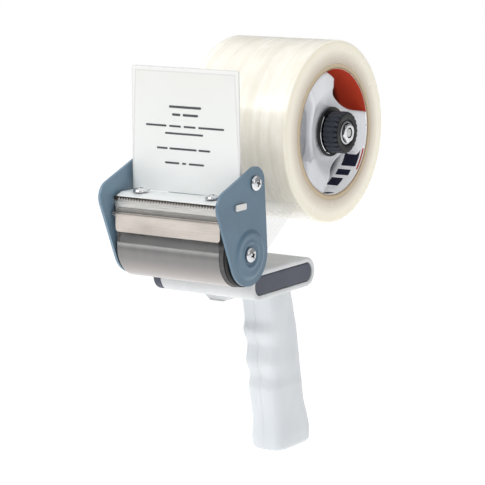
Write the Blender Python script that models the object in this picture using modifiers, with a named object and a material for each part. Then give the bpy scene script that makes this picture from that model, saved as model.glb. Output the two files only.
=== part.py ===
"""Pistol-grip packing tape dispenser for 3 inch core, 72 mm wide tape.

Metres, +Z up.  X runs across the tape, -Y is the cutting end and the origin is
the middle of the hand hold.  X = 0 is half way between the two side plates.
"""
import math

import bmesh
import bpy
from mathutils import Matrix, Vector

OBJECT_NAME = "tape_dispenser"
MM = 0.001
GAP = 0.3 * MM                     # left between pieces that touch
STEPS = 40                         # sides of a large turned piece
SMALL_STEPS = 20                   # sides of a small turned piece

# Reel: the tape roll, its card core and the hub, all about one axis along X.
REEL_X = -2.0 * MM
REEL_Y = 18.0 * MM
REEL_Z = 140.0 * MM
HUB_AXIS = (REEL_Y, REEL_Z)
TAPE_WIDTH = 72.0 * MM
ROLL_R = 55.3 * MM
CORE_R = 41.0 * MM
BORE_R = 38.1 * MM                 # 3 inch core
HUB_WALL = 2.2 * MM
HUB_R = BORE_R - GAP
HUB_LOBE = (-19.1, 13.5)           # one of the hub's three lobes, where it meets the bore
HUB_SIDE = [(26.3 * MM, 23.9), (22.5 * MM, 34.1), (20.4 * MM, 54.8), (23.3 * MM, 82.2),
            (28.3 * MM, 89.7), (32.4 * MM, 87.8)]  # scooped side after it: radius, degrees
POCKET_STEP = 2.4 * MM             # how far the face plate overhangs the pocket walls
ROLL_NEAR_X = REEL_X + TAPE_WIDTH / 2
ROLL_FAR_X = REEL_X - TAPE_WIDTH / 2
HUB_FACE_X = ROLL_NEAR_X - 0.6 * MM
DISH_X = HUB_FACE_X - 4.0 * MM      # bottom of the dish in the hub's face
DISH_R = 20.0 * MM
BUSH_R = 7.0 * MM
BOSS_R = 10.0 * MM

# Side plates.
PLATE_OUT_X = 42.0 * MM
PLATE_T = 1.6 * MM
PLATE_IN_X = PLATE_OUT_X - PLATE_T
TIE_Y, TIE_Z = -79.3 * MM, 122.0 * MM
TIE_AXIS = (TIE_Y, TIE_Z)
NOSE_Y, NOSE_Z = -106.9 * MM, 111.6 * MM
LOBE_R = 18.0 * MM
CORNER_R = 9.5 * MM
SCREW_R = 2.2 * MM
SCREW_HOLE_R = SCREW_R + GAP
BRACKET_SLOT_Y = -94.7 * MM
TAB_HALF = 4.6 * MM
BASE_REACH = 2.0 * MM             # the base flange ends just past the middle
BOLT_PLACES = [(-21.0 * MM, -38.0 * MM), (-6.0 * MM, -38.0 * MM)]
BOLT_R = 2.5 * MM

# Roller.
ROLLER_Y = -85.4 * MM
ROLLER_Z = 81.6 * MM
ROLLER_AXIS = (ROLLER_Y, ROLLER_Z)
SLEEVE_R = 18.8 * MM
SLEEVE_HALF = 39.2 * MM
AXLE_R = 4.0 * MM
TAPE_T = 0.3 * MM                  # thicker than real film, so that it is a solid
WEB_R = SLEEVE_R + GAP / 2         # inner side of the tape on the roller
PEEL_ANGLE = math.radians(223.0)   # where the tape leaves the roll

# Bracket, blade, flap and guard.
FOLD_Y, FOLD_Z = -88.0 * MM, 114.0 * MM
FOOT_T = 2.4 * MM
BRACKET_T = 2.0 * MM
BRACKET_TOP = FOLD_Z - FOOT_T - GAP
FLANGE_FRONT = -104.1 * MM
BLADE_T = 0.8 * MM
BLADE_TOP = 110.4 * MM
TOOTH_PITCH = 2.0 * MM
TOOTH_H = 1.4 * MM
FLAP_TOP = 186.2 * MM
FLAP_HALF, FLAP_TOP_HALF = 38.0 * MM, 37.6 * MM
FLAP_SCREW_X = (-25.5 * MM, 25.5 * MM)
FLAP_SCREW_Y = -97.8 * MM
PIN_Y, PIN_Z = -99.3 * MM, 103.6 * MM
PIN_R = 1.5 * MM
RIVET_R = 1.5 * MM
GUARD_T = 1.0 * MM
GUARD_HALF = 36.8 * MM

# Handle: crossbar block and grip.
BLOCK_NEAR_X = 36.0 * MM
BLOCK_FAR_X = -30.0 * MM
FAR_CAP_X = -36.0 * MM
BLOCK_Y = -41.0 * MM
BLOCK_Z = 59.8 * MM
BLOCK_HALF_Y = 33.2 * MM
BLOCK_HALF_Z = 8.8 * MM
BLOCK_WALL = 3.0 * MM
GRIP_WALL = 2.6 * MM
GRIP_SPLIT = 0.15 * MM             # half the gap between the two grip shells
GRIP_SCREWS = [(-4.0 * MM, 30.0 * MM), (3.0 * MM, -10.0 * MM), (8.0 * MM, -42.0 * MM)]
# height, front, back and half width of the grip at each station
GRIP_STATIONS = [
    (50.7, -25.1, 10.5, 11.3),
    (44.0, -22.4, 7.9, 11.3),
    (34.0, -19.9, 10.1, 11.5),
    (26.5, -18.6, 11.9, 11.6),
    (20.0, -20.0, 13.7, 11.8),
    (10.0, -16.1, 15.4, 11.6),
    (0.0, -17.1, 16.8, 12.0),
    (-10.0, -13.6, 18.7, 11.6),
    (-19.0, -14.3, 20.2, 11.8),
    (-29.0, -12.3, 22.2, 11.6),
    (-40.0, -10.8, 26.1, 11.8),
    (-49.0, -11.2, 27.9, 12.3),
    (-54.5, -10.5, 27.9, 12.2),
    (-57.0, -8.0, 25.4, 10.9),
]

# Tension knob on the spindle's threaded end.
SPINDLE_R = 5.0 * MM
THREAD_R = 3.0 * MM
CUP_X = DISH_X + 1.4 * MM
WASHER_X = 38.4 * MM
KNOB_BACK_X = CUP_X + 2.4 * MM
KNOB_FRONT_X = 42.8 * MM
KNOB_R = 12.7 * MM
FLUTES = 24
NUT_FRONT_X = 44.4 * MM
SPINDLE_END_X = 43.6 * MM
RECESS_R = 9.0 * MM
NUT_R = 6.2 * MM

COLOURS = {
    "painted_steel": ((0.148, 0.203, 0.256, 1), 0.42, 0.35),
    "zinc_steel": ((0.62, 0.62, 0.63, 1), 0.28, 1.0),
    "blade_steel": ((0.42, 0.41, 0.40, 1), 0.30, 1.0),
    "guard_steel": ((0.72, 0.68, 0.64, 1), 0.30, 0.9),
    "white_plastic": ((0.72, 0.73, 0.73, 1), 0.45, 0.0),
    "flap_plastic": ((0.82, 0.84, 0.83, 1), 0.35, 0.0),
    "grey_plastic": ((0.10, 0.11, 0.14, 1), 0.50, 0.0),
    "knob_plastic": ((0.05, 0.06, 0.08, 1), 0.45, 0.0),
    "rubber": ((0.05, 0.05, 0.05, 1), 0.75, 0.0),
    "card": ((0.50, 0.40, 0.28, 1), 0.85, 0.0),
    "clear_tape": ((0.86, 0.85, 0.76, 1), 0.15, 0.0),
    "nylon": ((0.75, 0.74, 0.70, 1), 0.55, 0.0),
    "fibre": ((0.30, 0.12, 0.08, 1), 0.80, 0.0),
}


# ---------------------------------------------------------------- scene and helpers

def clear_scene():
    """Remove the objects of the start-up scene."""
    for obj in list(bpy.data.objects):
        bpy.data.objects.remove(obj, do_unlink=True)


def make_collection(name):
    """A new collection in the scene."""
    collection = bpy.data.collections.new(name)
    bpy.context.scene.collection.children.link(collection)
    return collection


clear_scene()
PARTS = make_collection(OBJECT_NAME)
CUTTERS = make_collection("cutters")


def make_material(name, finish):
    """A Principled material of its own for one sub-part."""
    colour, roughness, metallic = COLOURS[finish]
    material = bpy.data.materials.new(name)
    material.use_nodes = True
    shader = material.node_tree.nodes["Principled BSDF"]
    shader.inputs["Base Color"].default_value = colour
    shader.inputs["Roughness"].default_value = roughness
    shader.inputs["Metallic"].default_value = metallic
    material.diffuse_color = colour
    return material


def place(obj, finish=None):
    """Link an object as a part, or as a hidden cutter when it has no finish."""
    if finish is None:
        CUTTERS.objects.link(obj)
        obj.hide_render = True
        obj.display_type = "WIRE"
        return obj
    PARTS.objects.link(obj)
    obj.data.materials.clear()
    obj.data.materials.append(make_material(obj.name, finish))
    return obj


def smooth(obj, angle=35):
    """Shade smooth except across sharp edges."""
    obj.data.shade_smooth()
    obj.data.set_sharp_from_angle(angle=math.radians(angle))
    return obj


def arc(centre, radius, start_deg, end_deg, steps):
    """Points along an arc of a circle."""
    points = []
    for i in range(steps + 1):
        angle = math.radians(start_deg + (end_deg - start_deg) * i / steps)
        points.append((centre[0] + radius * math.cos(angle), centre[1] + radius * math.sin(angle)))
    return points


def hull_of_circles(circles, steps=40):
    """Outline of a belt stretched round circles (u, v, radius)."""
    points = []
    for i in range(steps):
        angle = 2 * math.pi * i / steps
        u, v = math.cos(angle), math.sin(angle)
        best = max(circles, key=lambda c: c[0] * u + c[1] * v + c[2])
        point = (best[0] + best[2] * u, best[1] + best[2] * v)
        if not points or math.dist(points[-1], point) > 1e-6:
            points.append(point)
    return points


def rounded_rectangle(centre, half_u, half_v, radius, steps=5):
    """Outline of a rectangle with round corners."""
    u, v = half_u - radius, half_v - radius
    points = []
    for corner, (su, sv) in enumerate(((1, 1), (-1, 1), (-1, -1), (1, -1))):
        middle = (centre[0] + su * u, centre[1] + sv * v)
        points += arc(middle, radius, 90 * corner, 90 * corner + 90, steps)
    return points


AXES = {
    "X": Matrix(((0, 0, 1), (1, 0, 0), (0, 1, 0))).to_4x4(),   # outline in Y and Z
    "Y": Matrix(((-1, 0, 0), (0, 0, 1), (0, 1, 0))).to_4x4(),  # outline in -X and Z
    "Z": Matrix.Identity(4),                                   # outline in X and Y
}


def extruded(name, loops, low, high, finish=None, axis="X"):
    """A flat outline with holes, extruded from low to high along an axis.

    The outline is a filled 2D curve; it becomes a mesh with its caps welded.
    """
    curve = bpy.data.curves.new(name, "CURVE")
    curve.dimensions = "2D"
    curve.fill_mode = "BOTH"
    curve.extrude = (high - low) / 2
    for loop in loops:
        spline = curve.splines.new("POLY")
        spline.points.add(len(loop) - 1)
        for point, (u, v) in zip(spline.points, loop):
            point.co = (u, v, 0, 1)
        spline.use_cyclic_u = True
    matrix = AXES[axis] @ Matrix.Translation((0, 0, (low + high) / 2))
    return solid_from_curve(name, curve, matrix, finish)


def tube(name, points, radius, finish=None, cyclic=False):
    """A round bar along points."""
    curve = bpy.data.curves.new(name, "CURVE")
    curve.dimensions = "3D"
    curve.bevel_depth = radius
    curve.bevel_resolution = 2
    curve.use_fill_caps = True
    spline = curve.splines.new("POLY")
    spline.points.add(len(points) - 1)
    for point, co in zip(spline.points, points):
        point.co = (*co, 1)
    spline.use_cyclic_u = cyclic
    return solid_from_curve(name, curve, Matrix.Identity(4), finish)


def solid_from_curve(name, curve, matrix, finish):
    """Turn a curve into a welded mesh object in the same place."""
    source = bpy.data.objects.new(name + "_curve", curve)
    bpy.context.scene.collection.objects.link(source)
    source.matrix_world = matrix
    evaluated = source.evaluated_get(bpy.context.evaluated_depsgraph_get())
    mesh = bpy.data.meshes.new_from_object(evaluated)
    obj = bpy.data.objects.new(name, mesh)
    obj.matrix_world = matrix
    bpy.data.objects.remove(source, do_unlink=True)
    tidy_mesh(mesh)
    place(obj, finish)
    return smooth(obj)


def tidy_mesh(mesh):
    """Weld loose caps and turn the faces outwards."""
    work = bmesh.new()
    work.from_mesh(mesh)
    bmesh.ops.remove_doubles(work, verts=work.verts, dist=1e-6)
    bmesh.ops.dissolve_degenerate(work, edges=work.edges, dist=1e-7)
    bmesh.ops.recalc_face_normals(work, faces=work.faces)
    work.to_mesh(mesh)
    work.free()


def turned(name, profile, centre, finish=None, steps=STEPS, closed=False):
    """A shape turned about an axis along X through centre (y, z).

    The profile lists (radius, x), from the +X end down its outer side.  An open
    profile starts and ends on the axis.
    """
    mesh = bpy.data.meshes.new(name)
    verts = [(radius, 0, x) for radius, x in profile]
    edges = [(i, i + 1) for i in range(len(verts) - 1)]
    if closed:
        edges.append((len(verts) - 1, 0))
    mesh.from_pydata(verts, edges, [])
    obj = bpy.data.objects.new(name, mesh)
    obj.rotation_euler = (0, math.pi / 2, 0)
    obj.location = (0, centre[0], centre[1])
    place(obj, finish)
    screw = obj.modifiers.new("turn", "SCREW")
    screw.axis = "Z"
    screw.steps = steps
    screw.render_steps = steps
    screw.use_merge_vertices = True
    screw.merge_threshold = 0.00001
    screw.use_smooth_shade = True
    return obj


def ring(name, inner, outer, x_low, x_high, centre, finish=None, steps=STEPS):
    """A plain ring or washer about an axis along X."""
    profile = [(outer, x_high), (outer, x_low), (inner, x_low), (inner, x_high)]
    return turned(name, profile, centre, finish, steps, closed=True)


def rod(name, radius, x_low, x_high, centre, finish=None, steps=SMALL_STEPS):
    """A plain solid rod about an axis along X."""
    profile = [(0, x_high), (radius, x_high), (radius, x_low), (0, x_low)]
    return turned(name, profile, centre, finish, steps)


def box(name, low, high, finish=None):
    """A box between two corners."""
    mesh = bpy.data.meshes.new(name)
    work = bmesh.new()
    bmesh.ops.create_cube(work, size=1)
    size = [b - a for a, b in zip(low, high)]
    middle = [(a + b) / 2 for a, b in zip(low, high)]
    bmesh.ops.scale(work, vec=size, verts=work.verts)
    bmesh.ops.translate(work, vec=middle, verts=work.verts)
    work.to_mesh(mesh)
    work.free()
    return place(bpy.data.objects.new(name, mesh), finish)


def combine(obj, other, operation):
    """Keep a live Boolean of a part with a cutter."""
    modifier = obj.modifiers.new(operation.lower() + "_" + other.name, "BOOLEAN")
    modifier.operation = operation
    modifier.solver = "EXACT"
    modifier.object = other
    return obj


def cut(obj, other):
    """Take a cutter away from a part."""
    return combine(obj, other, "DIFFERENCE")


def join(obj, other):
    """Unite a part with a guide solid."""
    return combine(obj, other, "UNION")


# ---------------------------------------------------------------- side plates

def front_circles():
    """Round corners of both side plates: roller, cutting corner and tie rod."""
    return [
        (ROLLER_Y, ROLLER_Z, LOBE_R),
        (NOSE_Y, NOSE_Z, CORNER_R),
        (TIE_Y, TIE_Z, CORNER_R),
    ]


def plate_holes():
    """Screw holes and the bracket's slot, as loops in Y and Z."""
    slot_centre = (BRACKET_SLOT_Y, BRACKET_TOP - BRACKET_T / 2)
    return [
        arc(ROLLER_AXIS, SCREW_HOLE_R, 0, 337.5, 15),
        arc(TIE_AXIS, SCREW_HOLE_R, 0, 337.5, 15),
        rounded_rectangle(slot_centre, TAB_HALF + GAP, BRACKET_T / 2 + GAP, 0.4 * MM, 2),
    ]


def make_near_side_plate():
    """Short plate on the loading side."""
    loops = [hull_of_circles(front_circles())] + plate_holes()
    return extruded("near_side_plate", loops, PLATE_IN_X, PLATE_OUT_X, "painted_steel")


def make_main_frame():
    """Far plate with the arm that carries the reel and the flange on the handle."""
    base_top = BLOCK_Z + BLOCK_HALF_Z + GAP + PLATE_T
    far, near = -PLATE_OUT_X, -PLATE_IN_X
    arm = [
        (REEL_Y, REEL_Z, 17.0 * MM),
        (-12.0 * MM, base_top + 5.0 * MM, 6.0 * MM),
        (-66.0 * MM, base_top + 9.0 * MM, 9.0 * MM),
    ]
    front = hull_of_circles(front_circles())
    frame = extruded("main_frame", [front], far, near, "painted_steel")
    join(frame, extruded("arm_guide", [hull_of_circles(arm)], far, near))
    bend_r = 3.0 * MM
    bend = (far + bend_r, base_top - PLATE_T + bend_r)
    outline = [(-far, base_top + 4.0 * MM)]
    outline += [(-u, v) for u, v in arc(bend, bend_r, 180, 270, 6)]
    outline += [(-BASE_REACH, base_top - PLATE_T), (-BASE_REACH, base_top)]
    outline += [(-u, v) for u, v in arc(bend, bend_r - PLATE_T, 270, 180, 6)]
    outline += [(-near, base_top + 4.0 * MM)]
    join(frame, extruded("base_guide", [outline], -62.0 * MM, -14.0 * MM, axis="Y"))
    for number, loop in enumerate(plate_holes()):
        cut(frame, extruded(f"far_hole_{number}", [loop], far - MM, near + MM))
    hub_hole = arc(HUB_AXIS, THREAD_R + MM + GAP, 0, 345, 23)
    cut(frame, extruded("hub_hole", [hub_hole], far - MM, near + MM))
    for number, (x, y) in enumerate(BOLT_PLACES):
        hole = arc((x, y), BOLT_R + GAP, 0, 330, 11)
        low = base_top - 3 * MM
        cut(frame, extruded(f"bolt_hole_{number}", [hole], low, base_top + MM, axis="Z"))
    return frame


def pan_screw(name, centre, side, shank, head_r=4.5 * MM, head_h=2.3 * MM):
    """Pan head screw through a side plate; side is +1 near and -1 far."""
    seat = PLATE_OUT_X + GAP
    profile = [(0, seat + head_h), (head_r * 0.55, seat + head_h * 0.92)]
    profile += [(head_r * 0.88, seat + head_h * 0.62), (head_r, seat + head_h * 0.2), (head_r, seat)]
    profile += [(SCREW_R, seat), (SCREW_R, PLATE_IN_X - shank), (0, PLATE_IN_X - shank)]
    if side < 0:
        profile = [(radius, -x) for radius, x in reversed(profile)]
    return turned(name, profile, centre, "zinc_steel", SMALL_STEPS)


def make_plate_screws():
    """Two screws in each side plate, into the tie rod and the axle."""
    for label, side in (("near", 1), ("far", -1)):
        pan_screw(label + "_tie_screw", TIE_AXIS, side, 6.0 * MM)
        pan_screw(label + "_axle_screw", ROLLER_AXIS, side, 6.0 * MM)


def bored_bar(name, radius, centre):
    """Bar between the plates with a screw hole in each end."""
    end = PLATE_IN_X - GAP
    depth = 8.0 * MM
    hole = SCREW_HOLE_R
    profile = [(0, end - depth), (hole, end - depth), (hole, end), (radius, end)]
    profile += [(radius, -end), (hole, -end), (hole, depth - end), (0, depth - end)]
    return turned(name, profile, centre, "zinc_steel", SMALL_STEPS)


# ---------------------------------------------------------------- bracket, blade, flap

def make_cross_bracket():
    """Folded steel bracket under the flap's foot, with tabs through both plates."""
    back = FOLD_Y - 1.0 * MM
    low = BRACKET_TOP - BRACKET_T
    half = PLATE_IN_X - GAP
    flange_half = GUARD_HALF + 1.0 * MM
    bracket = box("cross_bracket", (-half, FLANGE_FRONT, low), (half, back, BRACKET_TOP), "zinc_steel")
    flange_low = BLADE_TOP - 9.0 * MM
    flange = box("flange_guide", (-flange_half, FLANGE_FRONT, flange_low),
                 (flange_half, FLANGE_FRONT + BRACKET_T, BRACKET_TOP - 0.2 * MM))
    join(bracket, flange)
    for label, side in (("near", 1), ("far", -1)):
        slot = sorted((side * (half - MM), side * (PLATE_OUT_X + GAP + 0.2 * MM)))
        tab = box(label + "_tab", (slot[0], BRACKET_SLOT_Y - TAB_HALF, low),
                  (slot[1], BRACKET_SLOT_Y + TAB_HALF, BRACKET_TOP))
        join(bracket, tab)
        head = sorted((side * (PLATE_OUT_X + GAP), side * (PLATE_OUT_X + 1.1 * MM)))
        peened = rounded_rectangle((BRACKET_SLOT_Y, (low + BRACKET_TOP) / 2),
                                   TAB_HALF + 0.5 * MM, 1.8 * MM, 0.8 * MM, 3)
        join(bracket, extruded(label + "_tab_head", [peened], head[0], head[1]))
    for number, x in enumerate(FLAP_SCREW_X):
        hole = arc((x, FLAP_SCREW_Y), RIVET_R + GAP, 0, 330, 11)
        cut(bracket, extruded(f"rivet_hole_{number}", [hole], low - MM, BRACKET_TOP + MM, axis="Z"))
    return bracket


def make_cutting_blade():
    """Toothed strip on the front of the bracket's flange."""
    half = GUARD_HALF + 1.0 * MM
    count = int(2 * half / TOOTH_PITCH)
    start = -count * TOOTH_PITCH / 2
    root = BLADE_TOP - TOOTH_H
    outline = [(start, BLADE_TOP - 4.8 * MM)]
    for tooth in range(count):
        left = start + tooth * TOOTH_PITCH
        outline += [(left, root), (left + TOOTH_PITCH / 2, BLADE_TOP)]
    outline += [(-start, root), (-start, BLADE_TOP - 4.8 * MM)]
    front = FLANGE_FRONT - GAP - BLADE_T
    return extruded("cutting_blade", [outline], front, front + BLADE_T, "blade_steel", axis="Y")


def make_flap_foot():
    """Plastic foot of the flap, wedge-shaped at the front."""
    low = BRACKET_TOP + GAP
    front = FLANGE_FRONT - 0.4 * MM
    outline = [(FOLD_Y - 0.2 * MM, low), (FOLD_Y - 0.2 * MM, low + FOOT_T - 0.2 * MM)]
    outline += [(FOLD_Y - 12.6 * MM, low + FOOT_T - 0.2 * MM), (front, low + 0.5 * MM), (front, low)]
    foot = extruded("flap_foot", [outline], -37.6 * MM, 37.6 * MM, "flap_plastic")
    for number, x in enumerate(FLAP_SCREW_X):
        hole = arc((x, FLAP_SCREW_Y), RIVET_R + GAP, 0, 330, 11)
        cut(foot, extruded(f"foot_hole_{number}", [hole], low - MM, low + 2 * FOOT_T, axis="Z"))
    return foot


def make_flap_screws():
    """Two pan head screws that hold the foot to the bracket."""
    top = BRACKET_TOP + FOOT_T + 2 * GAP
    head = [(0, 2.2), (2.3, 2.1), (3.7, 1.4), (4.3, 0.5), (4.3, 0)]
    profile = [(r * MM, z * MM) for r, z in head] + [(RIVET_R, 0), (RIVET_R, -5.6 * MM), (0, -5.6 * MM)]
    for side, x in zip(("far", "near"), FLAP_SCREW_X):
        screw = turned(side + "_flap_screw", profile, (FLAP_SCREW_Y, top), "zinc_steel", 16)
        screw.rotation_euler = (0, 0, 0)
        screw.location.x = x


def make_wiper_flap():
    """Upright flap, a little wider at the fold than at the top; its origin is on the fold."""
    base = FOLD_Z + GAP
    corner = 2.0 * MM
    outline = [(-FLAP_HALF, base), (FLAP_HALF, base), (FLAP_HALF, base + 14.0 * MM)]
    outline += arc((FLAP_TOP_HALF - corner, FLAP_TOP - corner), corner, 0, 90, 4)
    outline += arc((corner - FLAP_TOP_HALF, FLAP_TOP - corner), corner, 90, 180, 4)
    outline += [(-FLAP_HALF, base + 14.0 * MM)]
    half = 0.4 * MM
    flap = extruded("wiper_flap", [outline], FOLD_Y - half, FOLD_Y + half, "flap_plastic", "Y")
    return move_origin(flap, (0, FOLD_Y, FOLD_Z))


def move_origin(obj, point):
    """Put an object's origin at a world point without moving its mesh."""
    offset = obj.matrix_world.inverted() @ Vector(point)
    obj.data.transform(Matrix.Translation(-offset))
    obj.matrix_world = obj.matrix_world @ Matrix.Translation(offset)
    return obj


# ---------------------------------------------------------------- guard

def make_tape_guard():
    """Steel plate in front of the roller, on two ears that turn on the guard pin."""
    face_in = FLANGE_FRONT - 2.2 * MM
    face_out = face_in - GUARD_T
    low, high = 91.4 * MM, 100.2 * MM
    ear_out = PLATE_IN_X - 0.8 * MM
    corner = 2.0 * MM
    outline = [(-ear_out, high + 0.8 * MM), (-GUARD_HALF, high)]
    outline += arc((-GUARD_HALF + corner, low + corner), corner, 180, 270, 4)
    outline += arc((GUARD_HALF - corner, low + corner), corner, 270, 360, 4)
    outline += [(GUARD_HALF, high), (ear_out, high + 0.8 * MM), (ear_out, high + 2.6 * MM)]
    outline += [(-ear_out, high + 2.6 * MM)]
    guard = extruded("tape_guard", [outline], face_out, face_in, "guard_steel", axis="Y")
    for label, side in (("near", 1), ("far", -1)):
        root = (face_in - 0.1 * MM, high + 1.4 * MM, 0.7 * MM)
        ear = hull_of_circles([(PIN_Y, PIN_Z, 3.1 * MM), root], 20)
        sides = sorted((side * (ear_out - 0.2 * MM), side * (ear_out - GUARD_T)))
        join(guard, extruded(label + "_ear", [ear], sides[0], sides[1]))
        hole = arc((PIN_Y, PIN_Z), PIN_R + 0.15 * MM, 0, 337.5, 15)
        cut(guard, extruded(label + "_ear_hole", [hole], sides[0] - MM, sides[1] + MM))
    return move_origin(guard, (0, PIN_Y, PIN_Z))


def make_guard_pin():
    """Pin between the side plates, the guard's hinge."""
    end = PLATE_IN_X - GAP
    return rod("guard_pin", PIN_R, -end, end, (PIN_Y, PIN_Z), "zinc_steel", 16)


def make_guard_spring():
    """Torsion spring round the pin that presses the guard on the tape."""
    coil_r, wire_r, turns, pitch = 2.15 * MM, 0.35 * MM, 4, 1.4 * MM
    per_turn = 10
    points = [(-0.3 * MM, PIN_Y - coil_r, PIN_Z - 4.5 * MM)]
    for i in range(turns * per_turn + 1):
        angle = math.pi + 2 * math.pi * i / per_turn
        x = pitch * i / per_turn
        points.append((x, PIN_Y + coil_r * math.cos(angle), PIN_Z + coil_r * math.sin(angle)))
    points.append((turns * pitch + 0.3 * MM, PIN_Y - coil_r, PIN_Z - 4.5 * MM))
    return tube("guard_spring", points, wire_r, "zinc_steel")


# ---------------------------------------------------------------- roller and tape

def make_roller():
    """Rubber sleeve on a core that turns on two flanged bushes."""
    core_r, core_in = 14.0 * MM, 8.6 * MM
    sleeve = (core_r + 0.1 * MM, SLEEVE_R, -SLEEVE_HALF, SLEEVE_HALF)
    ring("roller_sleeve", *sleeve, ROLLER_AXIS, "rubber", 40)
    half = SLEEVE_HALF - 0.6 * MM
    ring("roller_core", core_in, core_r - 0.1 * MM, -half, half, ROLLER_AXIS, "grey_plastic", 32)
    for label, side in (("near", 1), ("far", -1)):
        outer, inner = half - 10 * MM, half + GAP
        profile = [(11.0, inner + 0.8 * MM), (11.0, inner), (8.4, inner), (8.4, outer)]
        profile = [(r * MM, x) for r, x in profile] + [(AXLE_R + 0.1 * MM, outer)]
        profile += [(AXLE_R + 0.1 * MM, inner + 0.8 * MM)]
        if side < 0:
            profile = [(r, -x) for r, x in reversed(profile)]
        turned(f"{label}_roller_bush", profile, ROLLER_AXIS, "nylon", 24, closed=True)


def tangent_point(start, centre, radius, side):
    """Where a line from start touches a circle; side picks one of the two."""
    offset = Vector(centre) - Vector(start)
    angle = math.atan2(offset.y, offset.x) + side * math.asin(radius / offset.length)
    length = math.sqrt(offset.length ** 2 - radius ** 2)
    return Vector(start) + length * Vector((math.cos(angle), math.sin(angle)))


def web_path(offset):
    """Side view of the threaded tape, offset from the roller's surface."""
    radius = WEB_R + offset
    direction = Vector((math.cos(PEEL_ANGLE), math.sin(PEEL_ANGLE)))
    normal = Vector((-direction.y, direction.x))
    peel = Vector(HUB_AXIS) + direction * (ROLL_R + GAP) + normal * offset
    first = tangent_point(peel, ROLLER_AXIS, radius, 1)
    end = Vector((FLANGE_FRONT - BLADE_T - 2 * GAP - offset, BLADE_TOP - TOOTH_H - 0.4 * MM))
    last = tangent_point(end, ROLLER_AXIS, radius, -1)
    begin_angle = math.degrees(math.atan2(first.y - ROLLER_Z, first.x - ROLLER_Y)) % 360
    end_angle = math.degrees(math.atan2(last.y - ROLLER_Z, last.x - ROLLER_Y)) % 360
    points = [tuple(peel)] + arc(ROLLER_AXIS, radius, begin_angle, end_angle, 14) + [tuple(end)]
    return points


def make_tape_web():
    """Tape from the roll, under the roller and up to the blade."""
    outline = web_path(0) + list(reversed(web_path(TAPE_T)))
    return extruded("tape_web", [outline], ROLL_FAR_X, ROLL_NEAR_X, "clear_tape")


def make_roll():
    """Wound tape on its card core."""
    ring("tape_roll", CORE_R + 0.1 * MM, ROLL_R, ROLL_FAR_X, ROLL_NEAR_X, HUB_AXIS, "clear_tape", 56)
    ring("tape_core", BORE_R, CORE_R - 0.1 * MM, ROLL_FAR_X, ROLL_NEAR_X, HUB_AXIS, "card", 48)


# ---------------------------------------------------------------- hub, spindle and knob

def spline(points, parts):
    """Smooth curve through points, each span cut into parts."""
    padded = [points[0]] + points + [points[-1]]
    curve = []
    for a, b, c, d in zip(padded, padded[1:], padded[2:], padded[3:]):
        for k in range(parts):
            t = k / parts
            curve.append(tuple(
                b[i] + 0.5 * t * (c[i] - a[i] + t * (2 * a[i] - 5 * b[i] + 4 * c[i] - d[i]
                                                     + t * (3 * (b[i] - c[i]) + d[i] - a[i])))
                for i in (0, 1)))
    return curve + [points[-1]]


def hub_point(radius, degrees):
    angle = math.radians(degrees)
    return (REEL_Y + radius * math.cos(angle), REEL_Z + radius * math.sin(angle))


def hub_outline(trim):
    """Round lobe ends, trim degrees narrower at each corner, joined by scooped sides."""
    points = []
    for turn in (0, 120, 240):
        start, end = HUB_LOBE[0] + turn + trim, HUB_LOBE[1] + turn - trim
        points += arc(HUB_AXIS, HUB_R, start, end, 8)
        side = [hub_point(HUB_R, end)] + [hub_point(r, a + turn) for r, a in HUB_SIDE]
        points += spline(side + [hub_point(HUB_R, start + 120)], 3)[1:-1]
    return points


def edge_distance(point, a, b):
    """Distance of a point from the straight edge a to b."""
    a, edge = Vector(a), Vector(b) - Vector(a)
    share = min(max((point - a).dot(edge) / edge.length_squared, 0), 1)
    return (point - a - share * edge).length


def drawn_in(points, step):
    """Outline moved inwards by step(radius); points that fold over at corners are left out."""
    moved = []
    for i, (y, z) in enumerate(points):
        before, after = points[i - 1], points[(i + 1) % len(points)]
        along = Vector((after[0] - before[0], after[1] - before[1])).normalized()
        reach = step(math.hypot(y - REEL_Y, z - REEL_Z))
        place_to = Vector((y - along.y * reach, z + along.x * reach))
        nearest = min(edge_distance(place_to, points[k - 1], points[k]) for k in range(len(points)))
        if nearest >= 0.9 * reach:
            moved.append(tuple(place_to))
    return moved


def make_reel_hub():
    """Moulded hub: a three-lobed shell, open to the back, with a central boss."""
    back = ROLL_FAR_X - 1.4 * MM
    face = 3.0 * MM
    outline = hub_outline(0)
    wall = drawn_in(hub_outline(3), lambda radius: min(max(HUB_R - radius - GAP, 0), POCKET_STEP))
    hub = extruded("reel_hub", [wall], back, DISH_X - MM, "white_plastic")
    join(hub, extruded("hub_face", [outline], DISH_X - face, HUB_FACE_X))
    inner = drawn_in(wall, lambda radius: HUB_WALL)
    boss = arc(HUB_AXIS, BOSS_R, 0, 345, 23)
    cut(hub, extruded("hub_hollow", [inner, boss], back - MM, DISH_X - face))
    bore = arc(HUB_AXIS, BUSH_R + 0.1 * MM, 0, 345, 23)
    cut(hub, extruded("hub_bore", [bore], back - 2 * MM, HUB_FACE_X + MM))
    over = HUB_FACE_X + MM
    dish = [(0, over), (DISH_R + 4 * MM, over), (DISH_R, DISH_X), (0, DISH_X)]
    cut(hub, turned("hub_dish", dish, HUB_AXIS))
    return move_origin(hub, (0, *HUB_AXIS))


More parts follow.
